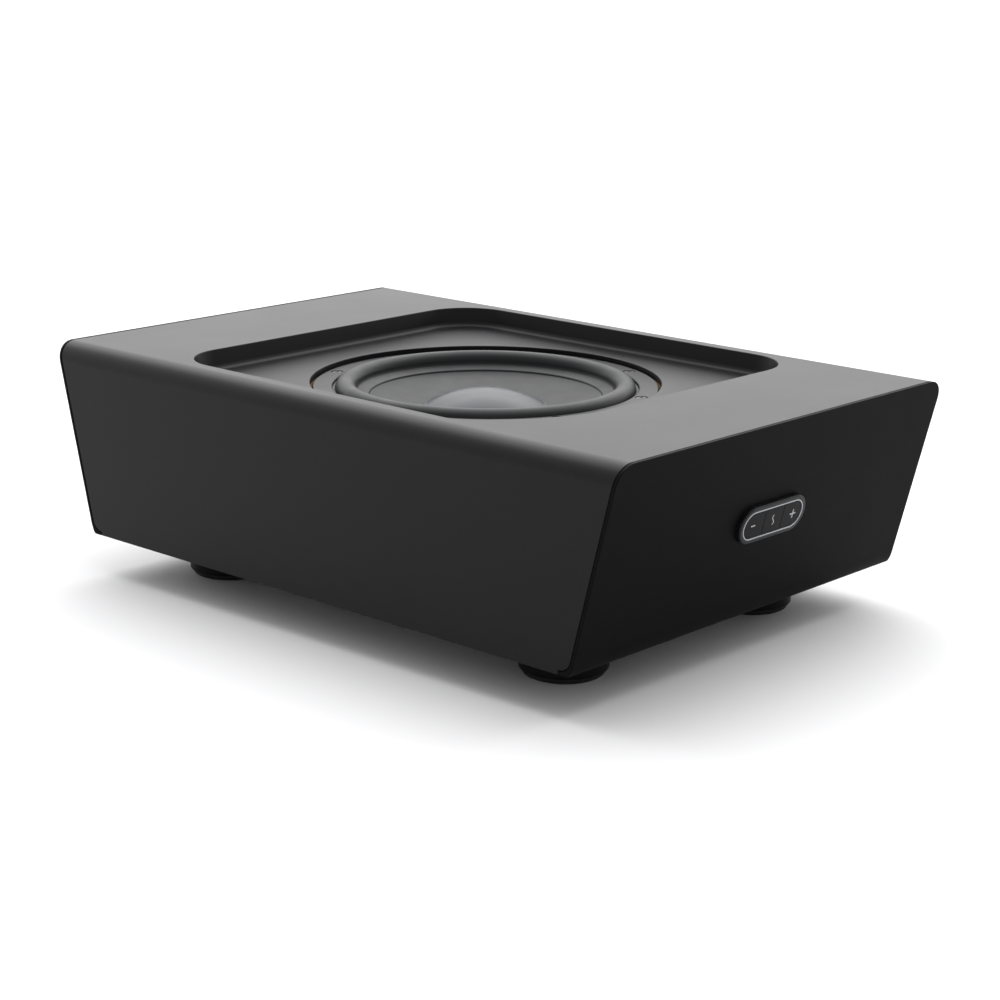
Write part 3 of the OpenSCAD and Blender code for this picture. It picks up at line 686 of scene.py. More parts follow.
class Section:
    """A section in the XZ plane that is drawn point by point and spun round the upright axis."""

    def __init__(self) -> None:
        """Starts an empty section."""
        self.bm = bmesh.new()
        self.first: bmesh.types.BMVert | None = None
        self.last: bmesh.types.BMVert | None = None

    def to(self, r: float, z: float) -> "Section":
        """Draws a straight run to radius r and height z."""
        point = self.bm.verts.new((r, 0, z))
        if self.last is not None:
            self.bm.edges.new((self.last, point))
        self.first = self.first or point
        self.last = point
        return self

    def arc(self, r: float, z: float, degrees: float, steps: int = 6) -> "Section":
        """Turns the last point about a centre.

        Args:
            r: Radius of the centre from the upright axis.
            z: Height of the centre.
            degrees: How far it turns, with a positive turn from up towards out.
            steps: Runs in the arc.

        Returns:
            The section.
        """
        made = bmesh.ops.spin(
            self.bm,
            geom=[self.last],
            cent=(r, 0, z),
            axis=(0, 1, 0),
            angle=math.radians(degrees),
            steps=steps,
            use_duplicate=False,
            use_merge=False,
        )
        self.last = only(made["geom_last"], bmesh.types.BMVert)[0]
        return self

    def turned(self, closed: bool = True, steps: int = 160) -> bmesh.types.BMesh:
        """Spins the section a full turn.

        Args:
            closed: Whether the last point joins the first.
            steps: Steps in the turn.

        Returns:
            The mesh.
        """
        if closed:
            self.bm.edges.new((self.last, self.first))
        geom = list(self.bm.verts) + list(self.bm.edges)
        bmesh.ops.spin(
            self.bm,
            geom=geom,
            cent=(0, 0, 0),
            axis=(0, 0, 1),
            angle=2 * math.pi,
            steps=steps,
            use_duplicate=False,
            use_merge=True,
        )
        bmesh.ops.remove_doubles(self.bm, verts=self.bm.verts, dist=MERGE_MM)
        bmesh.ops.dissolve_degenerate(self.bm, edges=self.bm.edges, dist=MERGE_MM)
        return self.bm


def copied_node(name: str, body: str | None, finish: Finish) -> bpy.types.Object:
    """Makes a merged, smooth copy of a CAD node, which stands for it.

    Args:
        name: The CAD node.
        body: The body it rides on, or None if it is blended afterwards.
        finish: Its finish.

    Returns:
        The piece.
    """
    bm = bmesh.new()
    bm.from_mesh(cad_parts[name].data)
    bm.transform(Matrix.Scale(1 / MM, 4))
    return make_piece(bm, f"{name}_piece", body, finish, (name,))


def bend_round(piece: bpy.types.Object, fixed_r: float, moving_r: float) -> None:
    """Bends a round soft piece between the cabinet and the cone.

    Here the same weights run along the radius.

    Args:
        piece: A piece with no parent.
        fixed_r: Radius that stays with the cabinet, in millimetres.
        moving_r: Radius that moves with the cone, in millimetres.
    """
    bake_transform(piece, "cabinet", "moving_cone", start=(fixed_r * MM, 0, 0), end=(moving_r * MM, 0, 0))
    weights = piece.data.attributes["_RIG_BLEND"].data
    for point, weight in zip(piece.data.vertices, weights):
        across = (fixed_r - point.co.xy.length / MM) / (fixed_r - moving_r)
        t = min(max(across, 0.0), 1.0)
        weight.value = t * t * (3 - 2 * t)


# ---------------------------------------------------------------- cabinet
@dataclass
class Cabinet:
    """The wrap-round shell and its two end caps."""

    top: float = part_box("cabinet_sleeve")[1].z / MM
    half_l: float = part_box("right_end_cap")[1].x / MM
    half_d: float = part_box("cabinet_sleeve")[1].y / MM
    low: float = 31.0
    lean: float = math.radians(14.5)
    top_r: float = 14.5
    heel_r: float = 12.0
    wall: float = 5.0
    side_gap: float = 0.3
    cap_t: float = 2.5
    seam: float = 0.5
    lip_x: float = 213.0
    heel_flat: float = 0.5
    recess: tuple[float, float, float, float] = (336.0, 311.0, 15.0, 40.0)
    draft: float = 3.0
    fillet: float = 5.0
    cutout_r: float = 128.0
    pod_drop: float = 72.0
    fillet_steps: int = 10

    def half_length(self, z: float) -> float:
        """Half the cabinet's length at height z."""
        return self.half_l - math.tan(self.lean) * (self.top - z)

    def heel_run(self, radius: float) -> float:
        """How far from the heel's corner a rounding of that radius starts."""
        return radius / math.tan(math.pi / 4 + self.lean / 2)

    @property
    def heel_x(self) -> float:
        """Where the end cap's heel starts under a long side."""
        return self.half_length(self.low) - self.heel_run(self.heel_r) - self.heel_flat

    def shell_end(self, z: float) -> float:
        """Where the shell ends at height z, one seam short of the end cap."""
        return self.half_length(z) - (self.cap_t + self.seam) / math.cos(self.lean)

    def face_frame(self, side: int) -> Matrix:
        """The frame of an end face: Z out of it, X down it and Y back along it.

        Args:
            side: 1 for the right end, -1 for the left.

        Returns:
            Its matrix, in millimetres.
        """
        z = self.top - self.pod_drop * math.cos(self.lean)
        right = Matrix.Translation((self.half_length(z), 0, z)) @ Matrix.Rotation(math.pi / 2 + self.lean, 4, "Y")
        return right if side > 0 else Matrix.Scale(-1, 4, (1, 0, 0)) @ right

    def _skin(self, bm: bmesh.types.BMesh, inset: float) -> None:
        """Draws one skin of the shell: a top with its recess, two rounded edges and two walls.

        Args:
            bm: The mesh it is drawn in.
            inset: Depth below the outer surface.
        """
        z, flat = self.top - inset, self.half_d - self.top_r
        signs = ((-1, -1), (1, -1), (1, 1), (-1, 1))
        corners = [bm.verts.new((sx * self.shell_end(z), sy * flat, z)) for sx, sy in signs]
        border = [bm.edges.new((corners[i], corners[(i + 1) % 4])) for i in range(4)]
        length, width, depth, radius = self.recess
        loops = [outline_rect(bm, length + 2 * inset, width + 2 * inset, radius + inset, z)]
        lean = self.draft * (depth - self.fillet) / depth
        for step in range(self.fillet_steps + 1):
            turn = math.pi / 2 * step / self.fillet_steps
            inward = lean + self.fillet * (1 - math.cos(turn)) - inset
            deep = depth - self.fillet * (1 - math.sin(turn)) + inset
            loops.append(
                outline_rect(bm, length - 2 * inward, width - 2 * inward, radius - inward, self.top - deep)
            )
        bmesh.ops.triangle_fill(bm, use_beauty=True, edges=border + loops[0], normal=(0, 0, 1))
        loft(bm, loops)
        hole = outline_round(bm, self.cutout_r, self.top - depth - inset)
        bmesh.ops.triangle_fill(bm, use_beauty=True, edges=loops[-1] + hole, normal=(0, 0, 1))
        for side, edge in ((-1, border[0]), (1, border[2])):
            self._side(bm, side, edge, inset)

    def _side(self, bm: bmesh.types.BMesh, side: int, edge: bmesh.types.BMEdge, inset: float) -> None:
        """Turns a long edge of the top down into a wall, with the end cap's heel cut out of it.

        Args:
            bm: The mesh.
            side: -1 for the front, 1 for the back.
            edge: The long edge of the top.
            inset: Depth below the outer surface.
        """
        had = set(bm.verts)
        made = bmesh.ops.spin(
            bm,
            geom=[edge, *edge.verts],
            cent=(0, side * (self.half_d - self.top_r), self.top - self.top_r),
            axis=(1, 0, 0),
            angle=-side * math.pi / 2,
            steps=14,
            use_duplicate=False,
            use_merge=False,
        )
        for v in bm.verts:
            if v not in had:
                v.co.x = math.copysign(self.shell_end(v.co.z), v.co.x)
        last = only(made["geom_last"], bmesh.types.BMEdge)[0]
        left, right = sorted(last.verts, key=lambda v: v.co.x)
        y, lip = side * (self.half_d - inset), self.low + self.cap_t + self.seam
        x_lip = self.heel_x - self.seam
        heels = [bm.verts.new((s * self.shell_end(lip), y, lip)) for s in (1, -1)]
        steps = [bm.verts.new((x, y, z)) for x, z in ((x_lip, lip), (x_lip, self.low))]
        steps += [bm.verts.new((x, y, z)) for x, z in ((-x_lip, self.low), (-x_lip, lip))]
        bm.faces.new([right, heels[0], *steps, heels[1], left])
        round_off(bm, heels, self.heel_run(self.heel_r - self.cap_t - self.seam), 8)

    def build_shell(self) -> None:
        """Makes the lacquered shell from an outer and an inner skin."""
        bm = bmesh.new()
        self._skin(bm, 0.0)
        outer = set(bm.verts)
        self._skin(bm, self.wall)
        bmesh.ops.remove_doubles(bm, verts=bm.verts, dist=MERGE_MM)
        bare = [e for e in bm.edges if e.is_boundary]
        inside = [e for e in bare if all(v.co.xy.length < self.cutout_r + 1 for v in e.verts)]
        bmesh.ops.bridge_loops(bm, edges=inside)
        bmesh.ops.bridge_loops(bm, edges=[e for e in bare if e not in set(inside)])
        soften(bm, 0.6, 45, 3, outer)
        make_piece(bm, "cabinet_shell", "cabinet", SATIN_LACQUER, ("cabinet_sleeve",), crease=40)

    def _cap_blank(self) -> bmesh.types.BMesh:
        """Makes a right end cap with no opening: a leaning panel whose heel turns under."""
        bm = bmesh.new()
        ends = ((-self.half_d, self.low), (self.half_d, self.low), (self.half_d, self.top), (-self.half_d, self.top))
        corners = [bm.verts.new((0, y, z)) for y, z in ends]
        bm.faces.new(corners)
        round_off(bm, corners[2:], self.top_r, 14)
        panel = bm.faces[:]
        thick = self.cap_t / math.cos(self.lean)
        made = bmesh.ops.extrude_face_region(bm, geom=panel)
        bmesh.ops.translate(bm, verts=only(made["geom"], bmesh.types.BMVert), vec=(thick, 0, 0))
        for v in bm.verts:
            v.co.x += self.half_length(v.co.z) - thick
        bmesh.ops.recalc_face_normals(bm, faces=bm.faces)
        inner = min(bm.faces, key=lambda f: f.normal.x * f.calc_area())
        bmesh.ops.bisect_plane(
            bm,
            geom=[inner, *inner.edges, *inner.verts],
            dist=MERGE_MM,
            plane_co=(0, 0, self.low + self.cap_t),
            plane_no=(0, 0, 1),
        )
        strip = min((f for f in bm.faces if f.normal.x < -0.5), key=lambda f: f.calc_center_median().z)
        made = bmesh.ops.extrude_face_region(bm, geom=[strip])
        for v in only(made["geom"], bmesh.types.BMVert):
            v.co.x = self.lip_x
        if strip.is_valid:
            bmesh.ops.delete(bm, geom=[strip], context="FACES_ONLY")
        for radius, z in ((self.heel_r, self.low), (self.heel_r - self.cap_t, self.low + self.cap_t)):
            far = self.half_length(z) - (0 if radius == self.heel_r else thick)
            corner = Vector((far, z))
            heel = [e for e in bm.edges if all((v.co.xz - corner).length < 0.01 for v in e.verts)]
            round_off(bm, heel, self.heel_run(radius), 10, "EDGES")
        # the lip keeps clear of the shell's long sides, which stand on the same level
        size = (self.heel_x - self.lip_x + 10, 2 * (self.wall + self.side_gap), 4 * self.cap_t)
        middle_x = (self.lip_x + self.heel_x) / 2 - 5
        bm = cut(bm, *(block(size, (middle_x, side * self.half_d, self.low)) for side in (-1, 1)))
        soften(bm, 0.45, 50, 3)
        return bm

    def build_caps(
        self, pod_hole: tuple[float, float], bay_rim: tuple[float, float], bay_pocket: tuple[float, float]
    ) -> None:
        """Makes both end caps.

        Args:
            pod_hole: Length and width of the control pod's opening.
            bay_rim: Height and length of the shallow seat for the connector tray's rim.
            bay_pocket: Height and length of the opening for the tray itself.
        """
        hole = bmesh.new()
        loft(hole, [outline_obround(hole, *pod_hole, -12), outline_obround(hole, *pod_hole, 4)], True, True)
        hole.transform(self.face_frame(1))
        right = cut(self._cap_blank(), hole)
        make_piece(right, "end_cap_right", "cabinet", GRAINED_ABS, ("right_end_cap",))
        rim, pocket = bmesh.new(), bmesh.new()
        for bm, sizes, radius, low in ((rim, bay_rim, 4.2, -1.7), (pocket, bay_pocket, 5.2, -30)):
            loft(bm, [outline_rect(bm, *sizes, radius, z) for z in (low, 4)], True, True)
            bm.transform(self.face_frame(1))
        left = cut(self._cap_blank(), rim, pocket)
        left.transform(Matrix.Scale(-1, 4, (1, 0, 0)))
        make_piece(left, "end_cap_left", "cabinet", GRAINED_ABS, ("left_end_cap",))


@dataclass
class Feet:
    """Four tall round feet, each with a rubber pad."""

    places: list[tuple[float, float]] = field(
        default_factory=lambda: [(sx * 168.0, sy * 103.0) for sx in (-1, 1) for sy in (-1, 1)]
    )
    radius: float = 30.5
    height: float = 31.0
    pad_t: float = 4.0
    bore_r: float = 6.0
    screw_r: float = 2.7

    def build(self) -> None:
        """Makes the foot bodies and their pads."""
        r, low, high = self.radius, self.pad_t, self.height
        seat = high - 11
        body = (
            Section()
            .to(self.bore_r, low)
            .to(r - 1.5, low)
            .arc(r - 1.5, low + 1.5, -90)
            .to(r, high - 1.5)
            .arc(r - 1.5, high - 1.5, -90)
            .to(self.screw_r, high)
            .to(self.screw_r, seat)
            .to(self.bore_r, seat)
            .turned(steps=96)
        )
        repeat_at(body, self.places)
        make_piece(body, "feet", "cabinet", FOOT_NYLON, ("foot_bodies",))
        pad = (
            Section()
            .to(9, low)
            .to(9, 0.6)
            .to(9.6, 0)
            .to(r - 2.2 - 3.2, 0)
            .arc(r - 2.2 - 3.2, 3.2, -90, 8)
            .to(r - 2.2, low)
            .turned(steps=96)
        )
        repeat_at(pad, self.places)
        make_piece(pad, "foot_pad_rings", "cabinet", FOOT_RUBBER, ("foot_pads",))


# ---------------------------------------------------------------- woofer
@dataclass
class Woofer:
    """The trim ring, its screws, and the parts of the woofer that move or flex."""

    trim_top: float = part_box("driver_trim_ring")[1].z / MM
    frame_r: float = 126.0
    trim_in_r: float = 111.5
    trim_low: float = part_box("driver_trim_ring")[0].z / MM
    sink: float = 1.4
    head_h: float = 1.2
    screw_circle_r: float = 118.3
    screws: int = 8
    roll_z: float = 151.4
    roll_mid_r: float = 102.25
    roll_r: float = 7.75
    rubber_t: float = 1.2
    cone_edge_r: float = 85.0
    cone_top: float = 146.8
    cone_slope: float = 0.188
    neck_r: float = 25.5
    cap_r: float = 43.5
    cap_h: float = 11.0

    def cone_z(self, r: float) -> float:
        """Height of the cone's upper surface at radius r."""
        return self.cone_top - self.cone_slope * (self.cone_edge_r - r)

    def _screw_places(self) -> Matrix:
        """Where the first screw stands, half a step round from the X axis."""
        return Matrix.Rotation(math.pi / self.screws, 4, "Z") @ Matrix.Translation((self.screw_circle_r, 0, 0))

    def build_trim(self) -> None:
        """Makes the trim ring with its sunk screw seats."""
        high, low, soft = self.trim_top, self.trim_low, 0.9
        ring = (
            Section()
            .to(self.trim_in_r, low)
            .to(self.frame_r, low)
            .to(self.frame_r, high - soft)
            .arc(self.frame_r - soft, high - soft, -90)
            .to(self.trim_in_r + 1.6, high)
            .arc(self.trim_in_r + 1.6, high - 1.6, -90)
            .turned(steps=224)
        )
        wide, through = bmesh.new(), bmesh.new()
        for bm, radius, foot in ((wide, 4.6, high - self.sink), (through, 2.6, low - 5)):
            add_drum(bm, radius, foot, foot + 10)
            bm.transform(self._screw_places())
            repeat_round(bm, self.screws)
        ring = cut(ring, wide, through)
        make_piece(ring, "trim_ring", "cabinet", TRIM_LACQUER, ("driver_trim_ring",))

    def build_screws(self) -> None:
        """Makes the frame screws, with cross recesses in domed heads."""
        seat, high = self.trim_top - self.sink, self.head_h
        head = (
            Section()
            .to(0, seat - 14)
            .to(1.4, seat - 14)
            .to(2.1, seat - 12.8)
            .to(2.1, seat)
            .to(4.1, seat)
            .to(4.1, seat + high - 0.8)
            .arc(3.3, seat + high - 0.8, -90)
            .to(0, seat + high)
            .turned(closed=False, steps=40)
        )
        head = cut(head, *(block((4.4, 0.9, 1.5), (0, 0, seat + high), turn) for turn in (0, math.pi / 2)))
        head.transform(self._screw_places())
        repeat_round(head, self.screws)
        make_piece(head, "frame_screws", "cabinet", BLACK_OXIDE, ("driver_screws",))

    def build_surround(self) -> None:
        """Makes the rubber roll, its outer flange and the lip that laps onto the cone."""
        mid, radius, t = self.roll_mid_r, self.roll_r, self.rubber_t
        centre = self.roll_z + 0.4
        start = math.radians(5)
        foot = mid - radius
        out = (mid + radius * math.cos(start), centre + radius * math.sin(start))
        back = (mid - (radius - t) * math.cos(start), centre + (radius - t) * math.sin(start))
        roll = (
            Section()
            .to(114.8, self.roll_z)
            .to(114.8, self.roll_z + t)
            .to(out[0] + 0.8, self.roll_z + t)
            .to(*out)
            .arc(mid, centre, -170, 40)
            .to(foot - 0.25, self.cone_z(foot) + t + 0.7)
            .to(foot - 1.1, self.cone_z(foot - 1.1) + t + 0.05)
            .to(self.cone_edge_r + 0.9, self.cone_z(self.cone_edge_r + 0.9) + t)
            .to(self.cone_edge_r + 0.25, self.cone_z(self.cone_edge_r) + t - 0.25)
            .to(self.cone_edge_r, self.cone_z(self.cone_edge_r) + 0.02)
            .to(foot + t, self.cone_z(foot + t) + 0.02)
            .to(*back)
            .arc(mid, centre, 170, 40)
            .to(mid + radius - t, self.roll_z)
            .turned(steps=224)
        )
        piece = make_piece(
            roll, "rubber_surround", None, BUTYL_RUBBER, ("surround",), crease=50, grown=False
        )
        bend_round(piece, mid + radius, mid - radius)

    def build_cone(self) -> None:
        """Makes the cone and the domed cap glued over its neck."""
        edge, neck = self.roll_mid_r - self.roll_r, self.neck_r + 0.1
        low = self.cone_z(neck)
        cone = (
            Section()
            .to(edge, self.cone_z(edge))
            .to(self.cone_edge_r, self.cone_z(self.cone_edge_r))
            .to(self.cap_r + 3, self.cone_z(self.cap_r + 3))
            .to(neck, low)
            .to(neck, low - 4)
            .to(neck + 1.5, low - 4)
            .to(neck + 2.3, low - 1.3)
            .to(edge, self.cone_z(edge) - 1.4)
            .turned(steps=192)
        )
        make_piece(cone, "woofer_cone", "moving_cone", FILLED_CONE, ("cone",))
        rim_z = self.cone_z(self.cap_r) + 0.35
        ball = (self.cap_r**2 + self.cap_h**2) / (2 * self.cap_h)
        spread = math.degrees(math.asin(self.cap_r / ball))
        centre = rim_z + self.cap_h - ball
        cap = (
            Section()
            .to(self.cap_r + 1.3, rim_z + 0.1)
            .to(self.cap_r + 1.2, rim_z + 0.45)
            .to(self.cap_r, rim_z + 0.55)
            .arc(0, centre + 0.55, -spread, 24)
        )
        cap.to(0, centre + ball - 0.9)
        cap.arc(0, centre, spread, 24)
        dome = cap.turned(steps=160)
        # the dome's finish carries a painted cold sheen in its lighter, bluer base colour
        make_piece(dome, "dome", "moving_cone", PAINTED_SHEEN_CAP, ("dust_cap",), crease=45, grown=False)

    def build_suspension(self) -> None:
        """Makes the spider and the braided leads, which flex with the cone."""
        spider = copied_node("spider", None, DIPPED_CLOTH)
        bend_round(spider, 66.0, 30.0)
        leads = copied_node("tinsel_leads", None, BRAID)
        low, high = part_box("tinsel_leads")
        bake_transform(leads, "cabinet", "moving_cone", start=(low.x, 0, 0), end=(high.x, 0, 0))


# ---------------------------------------------------------------- control pod
@dataclass
class ControlPod:
    """The raised obround on the right end: bezel, silver ring, three keys and their marks."""

    cabinet: Cabinet
    size: tuple[float, float, float] = (72.0, 27.0, 3.5)
    ring: tuple[float, float, float] = (65.8, 21.3, 1.3)
    ring_deep: float = 1.5
    opening: tuple[float, float] = (68.2, 23.7)
    key_gap: float = 0.35
    key_sunk: float = 0.2
    key_ends: float = 40.0
    key_split: float = 10.2
    key_y: float = 22.0
    stem_low: float = -5.2

    def _round_tube(self, stages: list[tuple[float, float, float]]) -> bmesh.types.BMesh:
        """Joins obrounds of length, width and height into a closed tube."""
        bm = bmesh.new()
        loops = [outline_obround(bm, *stage) for stage in stages]
        loft(bm, [*loops, loops[0]])
        return bm

    def build_bezel(self) -> None:
        """Makes the black bezel and the silver ring let into it."""
        (length, width, high), (rl, rw, band) = self.size, self.ring
        seat = high - self.ring_deep
        bore = (rl - 2 * band, rw - 2 * band)
        stages = [(length, width, 0.05), (length, width, high - 1.2)]
        for step in range(1, 6):
            turn = math.pi / 2 * step / 5
            pull = 2.4 * (1 - math.cos(turn))
            stages.append((length - pull, width - pull, high - 1.2 + 1.2 * math.sin(turn)))
        stages += [(rl + 0.2, rw + 0.2, high), (rl, rw, high - 0.1), (rl, rw, seat), (*bore, seat)]
        stages += [(*bore, -5.0), (rl + 2, rw + 2, -5.0), (rl + 2, rw + 2, 0.05)]
        place = self.cabinet.face_frame(1)
        make_piece(
            self._round_tube(stages), "pod_bezel", "cabinet", POLISHED_ABS, ("control_bezel",), place
        )
        out, soft = (rl - 0.1, rw - 0.1), 0.3
        stages = [(*out, seat), (*out, high - soft), (out[0] - soft, out[1] - soft, high)]
        stages += [(bore[0] + soft, bore[1] + soft, high), (*bore, high - soft), (*bore, seat)]
        make_piece(
            self._round_tube(stages), "pod_ring", "cabinet", ANODISED_RING, ("control_ring",), place
        )

    def _key(self, y0: float, y1: float, stem_y: float) -> bmesh.types.BMesh:
        """Makes one key: a slice of the obround with soft edges, and the stem behind it.

        Args:
            y0: Where the slice starts.
            y1: Where it ends.
            stem_y: Where its stem stands.

        Returns:
            The mesh.
        """
        (rl, rw, band), top = self.ring, self.size[2] - self.key_sunk
        length, width = rl - 2 * band - 2 * self.key_gap, rw - 2 * band - 2 * self.key_gap
        bm = bmesh.new()
        stages = [(length, width, top - 3), (length, width, top - 0.5)]
        stages += [(length - 0.3, width - 0.3, top - 0.15), (length - 1.0, width - 1.0, top)]
        loft(bm, [outline_obround(bm, *stage) for stage in stages], True, True)
        for y, normal in ((y0, -1), (y1, 1)):
            made = bmesh.ops.bisect_plane(
                bm,
                geom=[*bm.verts, *bm.edges, *bm.faces],
                dist=MERGE_MM,
                plane_co=(0, y, 0),
                plane_no=(0, normal, 0),
                clear_outer=True,
            )
            rim = only(made["geom_cut"], bmesh.types.BMEdge)
            if rim:
                bmesh.ops.contextual_create(bm, geom=rim)
        soften(bm, 0.18, 60)
        add_drum(bm, 1.6, self.stem_low, top - 2, stem_y, 32)
        return bm

    def build_keys(self) -> None:
        """Makes the three keys and a printed mark on each."""
        place, half_gap = self.cabinet.face_frame(1), self.key_gap / 2
        split = self.key_split
        keys = (
            ("volume_down", "volume_down_key", -self.key_ends, -split - half_gap, -self.key_y, self._minus),
            ("action", "action_key", -split + half_gap, split - half_gap, 0.0, self._wave),
            ("volume_up", "volume_up_key", split + half_gap, self.key_ends, self.key_y, self._plus),
        )
        for body, node, y0, y1, y, mark in keys:
            make_piece(self._key(y0, y1, y), f"{body}_cap", body, KEY_ABS, (node,), place)
            bm = mark()
            bmesh.ops.translate(bm, verts=bm.verts, vec=(0, y, self.size[2] - self.key_sunk))
            make_piece(bm, f"{body}_mark", body, PRINT_INK, (), place)

    @staticmethod
    def _bar() -> bmesh.types.BMesh:
        """A flat bar 0.95 mm square and 0.08 mm thick, centred on the key's surface."""
        return block((0.95, 0.95, 0.08), (0, 0, 0))

    def _minus(self) -> bmesh.types.BMesh:
        """The bar of the volume-down key."""
        bm = self._bar()
        bmesh.ops.scale(bm, vec=(1, 4.6, 1), verts=bm.verts)
        return bm

    def _plus(self) -> bmesh.types.BMesh:
        """The cross of the volume-up key, from a square whose four sides are drawn out."""
        bm = self._bar()
        bm.normal_update()
        arms = [f for f in bm.faces if abs(f.normal.z) < 0.5]
        for face in bmesh.ops.extrude_discrete_faces(bm, faces=arms)["faces"]:
            bmesh.ops.translate(bm, verts=face.verts, vec=face.normal * 2.7)
        return bm

    @staticmethod
    def _wave() -> bmesh.types.BMesh:
        """The upright wavy stroke of the middle key, from a strip pushed aside along a sine."""
        length, width, sway, thick = 7.4, 0.85, 1.1, 0.04
        bm = bmesh.new()
        bmesh.ops.create_grid(bm, x_segments=24, y_segments=1, size=0.5)
        bmesh.ops.scale(bm, vec=(length, width, 1), verts=bm.verts)
        for v in bm.verts:
            v.co.y += sway * math.sin(2 * math.pi * v.co.x / length)
        made = bmesh.ops.extrude_face_region(bm, geom=bm.faces[:])
        bmesh.ops.translate(bm, verts=only(made["geom"], bmesh.types.BMVert), vec=(0, 0, thick))
        return bm


# ---------------------------------------------------------------- connector bay
@dataclass
class ConnectorBay:
    """The sunk tray in the left end, with its openings."""

    cabinet: Cabinet
    width: float = 36.0
    length: float = 104.0
    depth: float = 12.0
    inlet_y: float = -30.0
    inlet_hole: tuple[float, float, float] = (16.0, 25.0, 1.0)
    jack_y: tuple[float, float] = (14.0, 34.0)
    jack_hole_r: float = 6.1
    lens_y: float = 46.0
    lens_hole_r: float = 1.6
    rim: tuple[float, float] = (46.4, 114.4)
    pocket: tuple[float, float] = (40.4, 108.4)

    def build(self) -> None:
        """Makes the tray."""
        w, l, d = self.width, self.length, self.depth
        stages = [
            (w + 4, l + 4, 5, -d - 2),
            (w + 4, l + 4, 5, -1.5),
            (w + 10, l + 10, 4, -1.5),
            (w + 10, l + 10, 4, -0.25),
            (w + 9.5, l + 9.5, 3.8, 0),
            (w + 0.8, l + 0.8, 3.4, 0),
            (w, l, 3, -0.4),
            (w - 0.6, l - 0.6, 2.8, -d + 1.2),
            (w - 1.3, l - 1.3, 2.5, -d + 0.35),
            (w - 3, l - 3, 2, -d),
        ]
        bm = bmesh.new()
        loft(bm, [outline_rect(bm, *stage, segments=6) for stage in stages], True, True)
        holes = bmesh.new()
        loft(holes, [outline_rect(holes, *self.inlet_hole, z, 4) for z in (-d - 5, -d + 5)], True, True)
        bmesh.ops.translate(holes, verts=holes.verts, vec=(0, self.inlet_y, 0))
        for y, radius in (*((y, self.jack_hole_r) for y in self.jack_y), (self.lens_y, self.lens_hole_r)):
            add_drum(holes, radius, -d - 5, -d + 5, y)
        tray = cut(bm, holes)
        make_piece(
            tray, "bay_tray", "cabinet", BLACK_NYLON, ("connector_tray",), self.cabinet.face_frame(-1)
        )


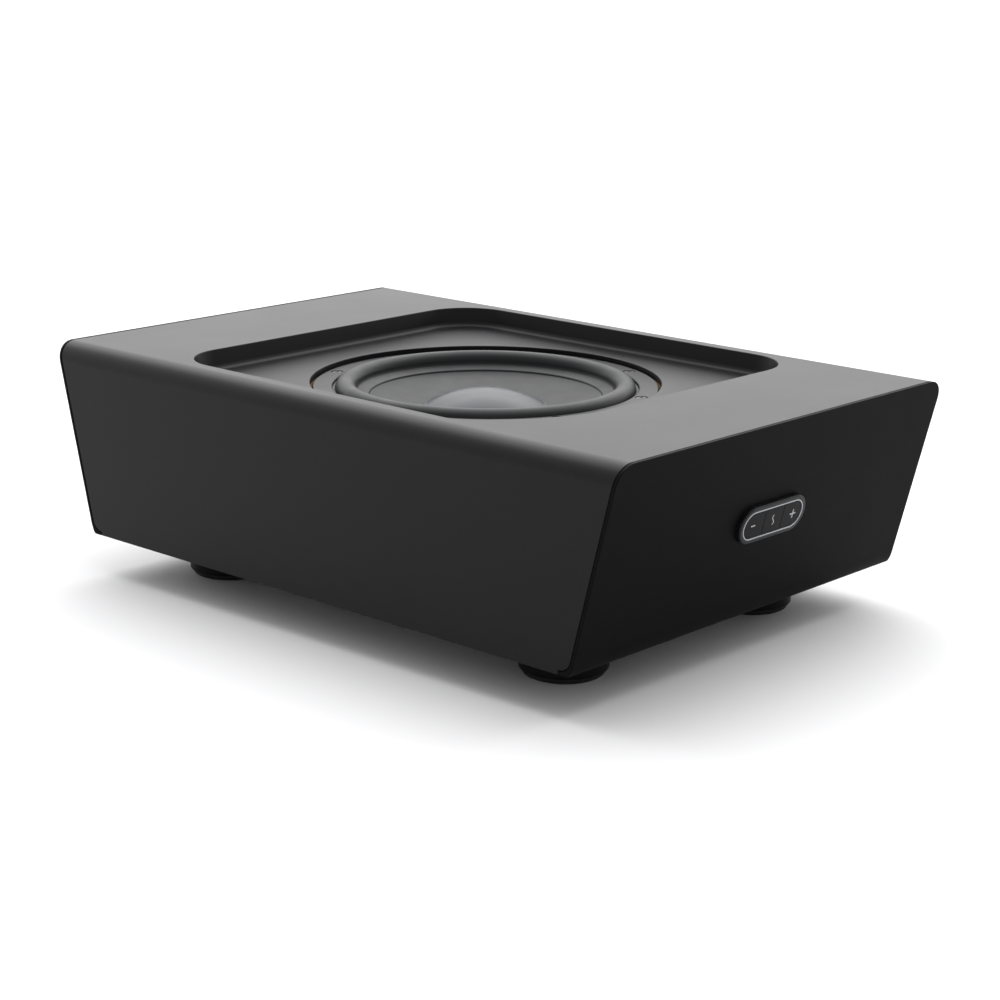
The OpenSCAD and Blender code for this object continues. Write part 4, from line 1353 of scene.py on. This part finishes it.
# ---------------------------------------------------------------- studio
@dataclass(frozen=True)
class Studio:
    """The camera, the pale floor and the soft light."""

    camera_at: tuple[float, float, float] = (1.12216, -1.21029, 0.50877)
    yaw: float = -0.7409
    pitch: float = 0.2613
    roll: float = 0.0085
    lens: float = 83.19
    floor_half: float = 12.0
    front_light: float = 0.9
    back_light: float = 2.2
    overhead_light: float = 3.5
    overhead_spread: float = math.radians(80)
    overhead_from: tuple[float, float, float] = (-0.4, 0.6, 1.7)

    def build_camera(self) -> None:
        """Makes the camera and makes it the scene's own."""
        data = bpy.data.cameras.new("camera")
        data.lens, data.sensor_width = self.lens, 36.0
        data.clip_end = 100.0
        camera = bpy.data.objects.new("camera", data)
        bpy.context.scene.collection.objects.link(camera)
        ahead = Vector(
            (
                math.sin(self.yaw) * math.cos(self.pitch),
                math.cos(self.yaw) * math.cos(self.pitch),
                -math.sin(self.pitch),
            )
        )
        right = Vector((math.cos(self.yaw), -math.sin(self.yaw), 0.0))
        up = right.cross(ahead)
        across = math.cos(self.roll) * right + math.sin(self.roll) * up
        upward = math.cos(self.roll) * up - math.sin(self.roll) * right
        turn = Matrix((across, upward, -ahead)).transposed().to_4x4()
        camera.matrix_world = Matrix.Translation(self.camera_at) @ turn
        bpy.context.scene.camera = camera

    def build_floor(self) -> None:
        """Makes the pale floor."""
        bm = bmesh.new()
        bmesh.ops.create_grid(bm, x_segments=1, y_segments=1, size=self.floor_half)
        mesh = bpy.data.meshes.new("floor")
        bm.to_mesh(mesh)
        bm.free()
        floor = bpy.data.objects.new("floor", mesh)
        bpy.context.scene.collection.objects.link(floor)
        material = bpy.data.materials.new("white studio paper")
        material.use_nodes = True
        shader = material.node_tree.nodes["Principled BSDF"]
        shader.inputs["Base Color"].default_value = linear("#cbcbcc")
        shader.inputs["Roughness"].default_value = 0.9
        shader.inputs["Specular IOR Level"].default_value = 0.0
        mesh.materials.append(material)

    def build_light(self) -> None:
        """Makes surroundings that are brighter behind, and one broad soft light overhead."""
        world = bpy.data.worlds.new("white studio")
        world.use_nodes = True
        tree = world.node_tree
        away = add_node(tree, "ShaderNodeTexCoord").outputs["Generated"]
        behind = Vector((math.sin(self.yaw), math.cos(self.yaw), 0.0))
        facing = add_node(
            tree, "ShaderNodeVectorMath", {"operation": "DOT_PRODUCT"}, in0=away, in1=behind
        ).outputs["Value"]
        strength = add_node(
            tree,
            "ShaderNodeMapRange",
            {"interpolation_type": "SMOOTHSTEP"},
            Value=facing,
            From_Min=-0.3,
            From_Max=0.85,
            To_Min=self.front_light,
            To_Max=self.back_light,
        ).outputs[0]
        tree.links.new(strength, tree.nodes["Background"].inputs["Strength"])
        tree.nodes["Background"].inputs["Color"].default_value = (1.0, 1.0, 1.0, 1.0)
        bpy.context.scene.world = world
        data = bpy.data.lights.new("overhead", "SUN")
        data.energy, data.angle = self.overhead_light, self.overhead_spread
        lamp = bpy.data.objects.new("overhead", data)
        lamp.location = self.overhead_from
        lamp.rotation_euler = (-lamp.location).to_track_quat("-Z", "Y").to_euler()
        bpy.context.scene.collection.objects.link(lamp)
        bpy.context.scene.view_settings.view_transform = "Standard"


def dress_frame() -> None:
    """Gives each CAD node that stays its finish."""
    for name, finish in CAD_FINISHES.items():
        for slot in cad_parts[name].material_slots:
            slot.material = finish.build()
    LOG.info("%d CAD nodes dressed", len(CAD_FINISHES))


def main() -> None:
    """Builds every sub-assembly in order."""
    logging.basicConfig(level=logging.INFO, format="%(name)s %(message)s")
    studio = Studio()
    studio.build_camera()
    studio.build_floor()
    studio.build_light()
    dress_frame()
    cabinet = Cabinet()
    cabinet.build_shell()
    cabinet.build_caps(ControlPod.opening, ConnectorBay.rim, ConnectorBay.pocket)
    Feet().build()
    woofer = Woofer()
    woofer.build_trim()
    woofer.build_screws()
    woofer.build_surround()
    woofer.build_cone()
    woofer.build_suspension()
    pod = ControlPod(cabinet)
    pod.build_bezel()
    pod.build_keys()
    ConnectorBay(cabinet).build()


if __name__ == "__main__":
    main()
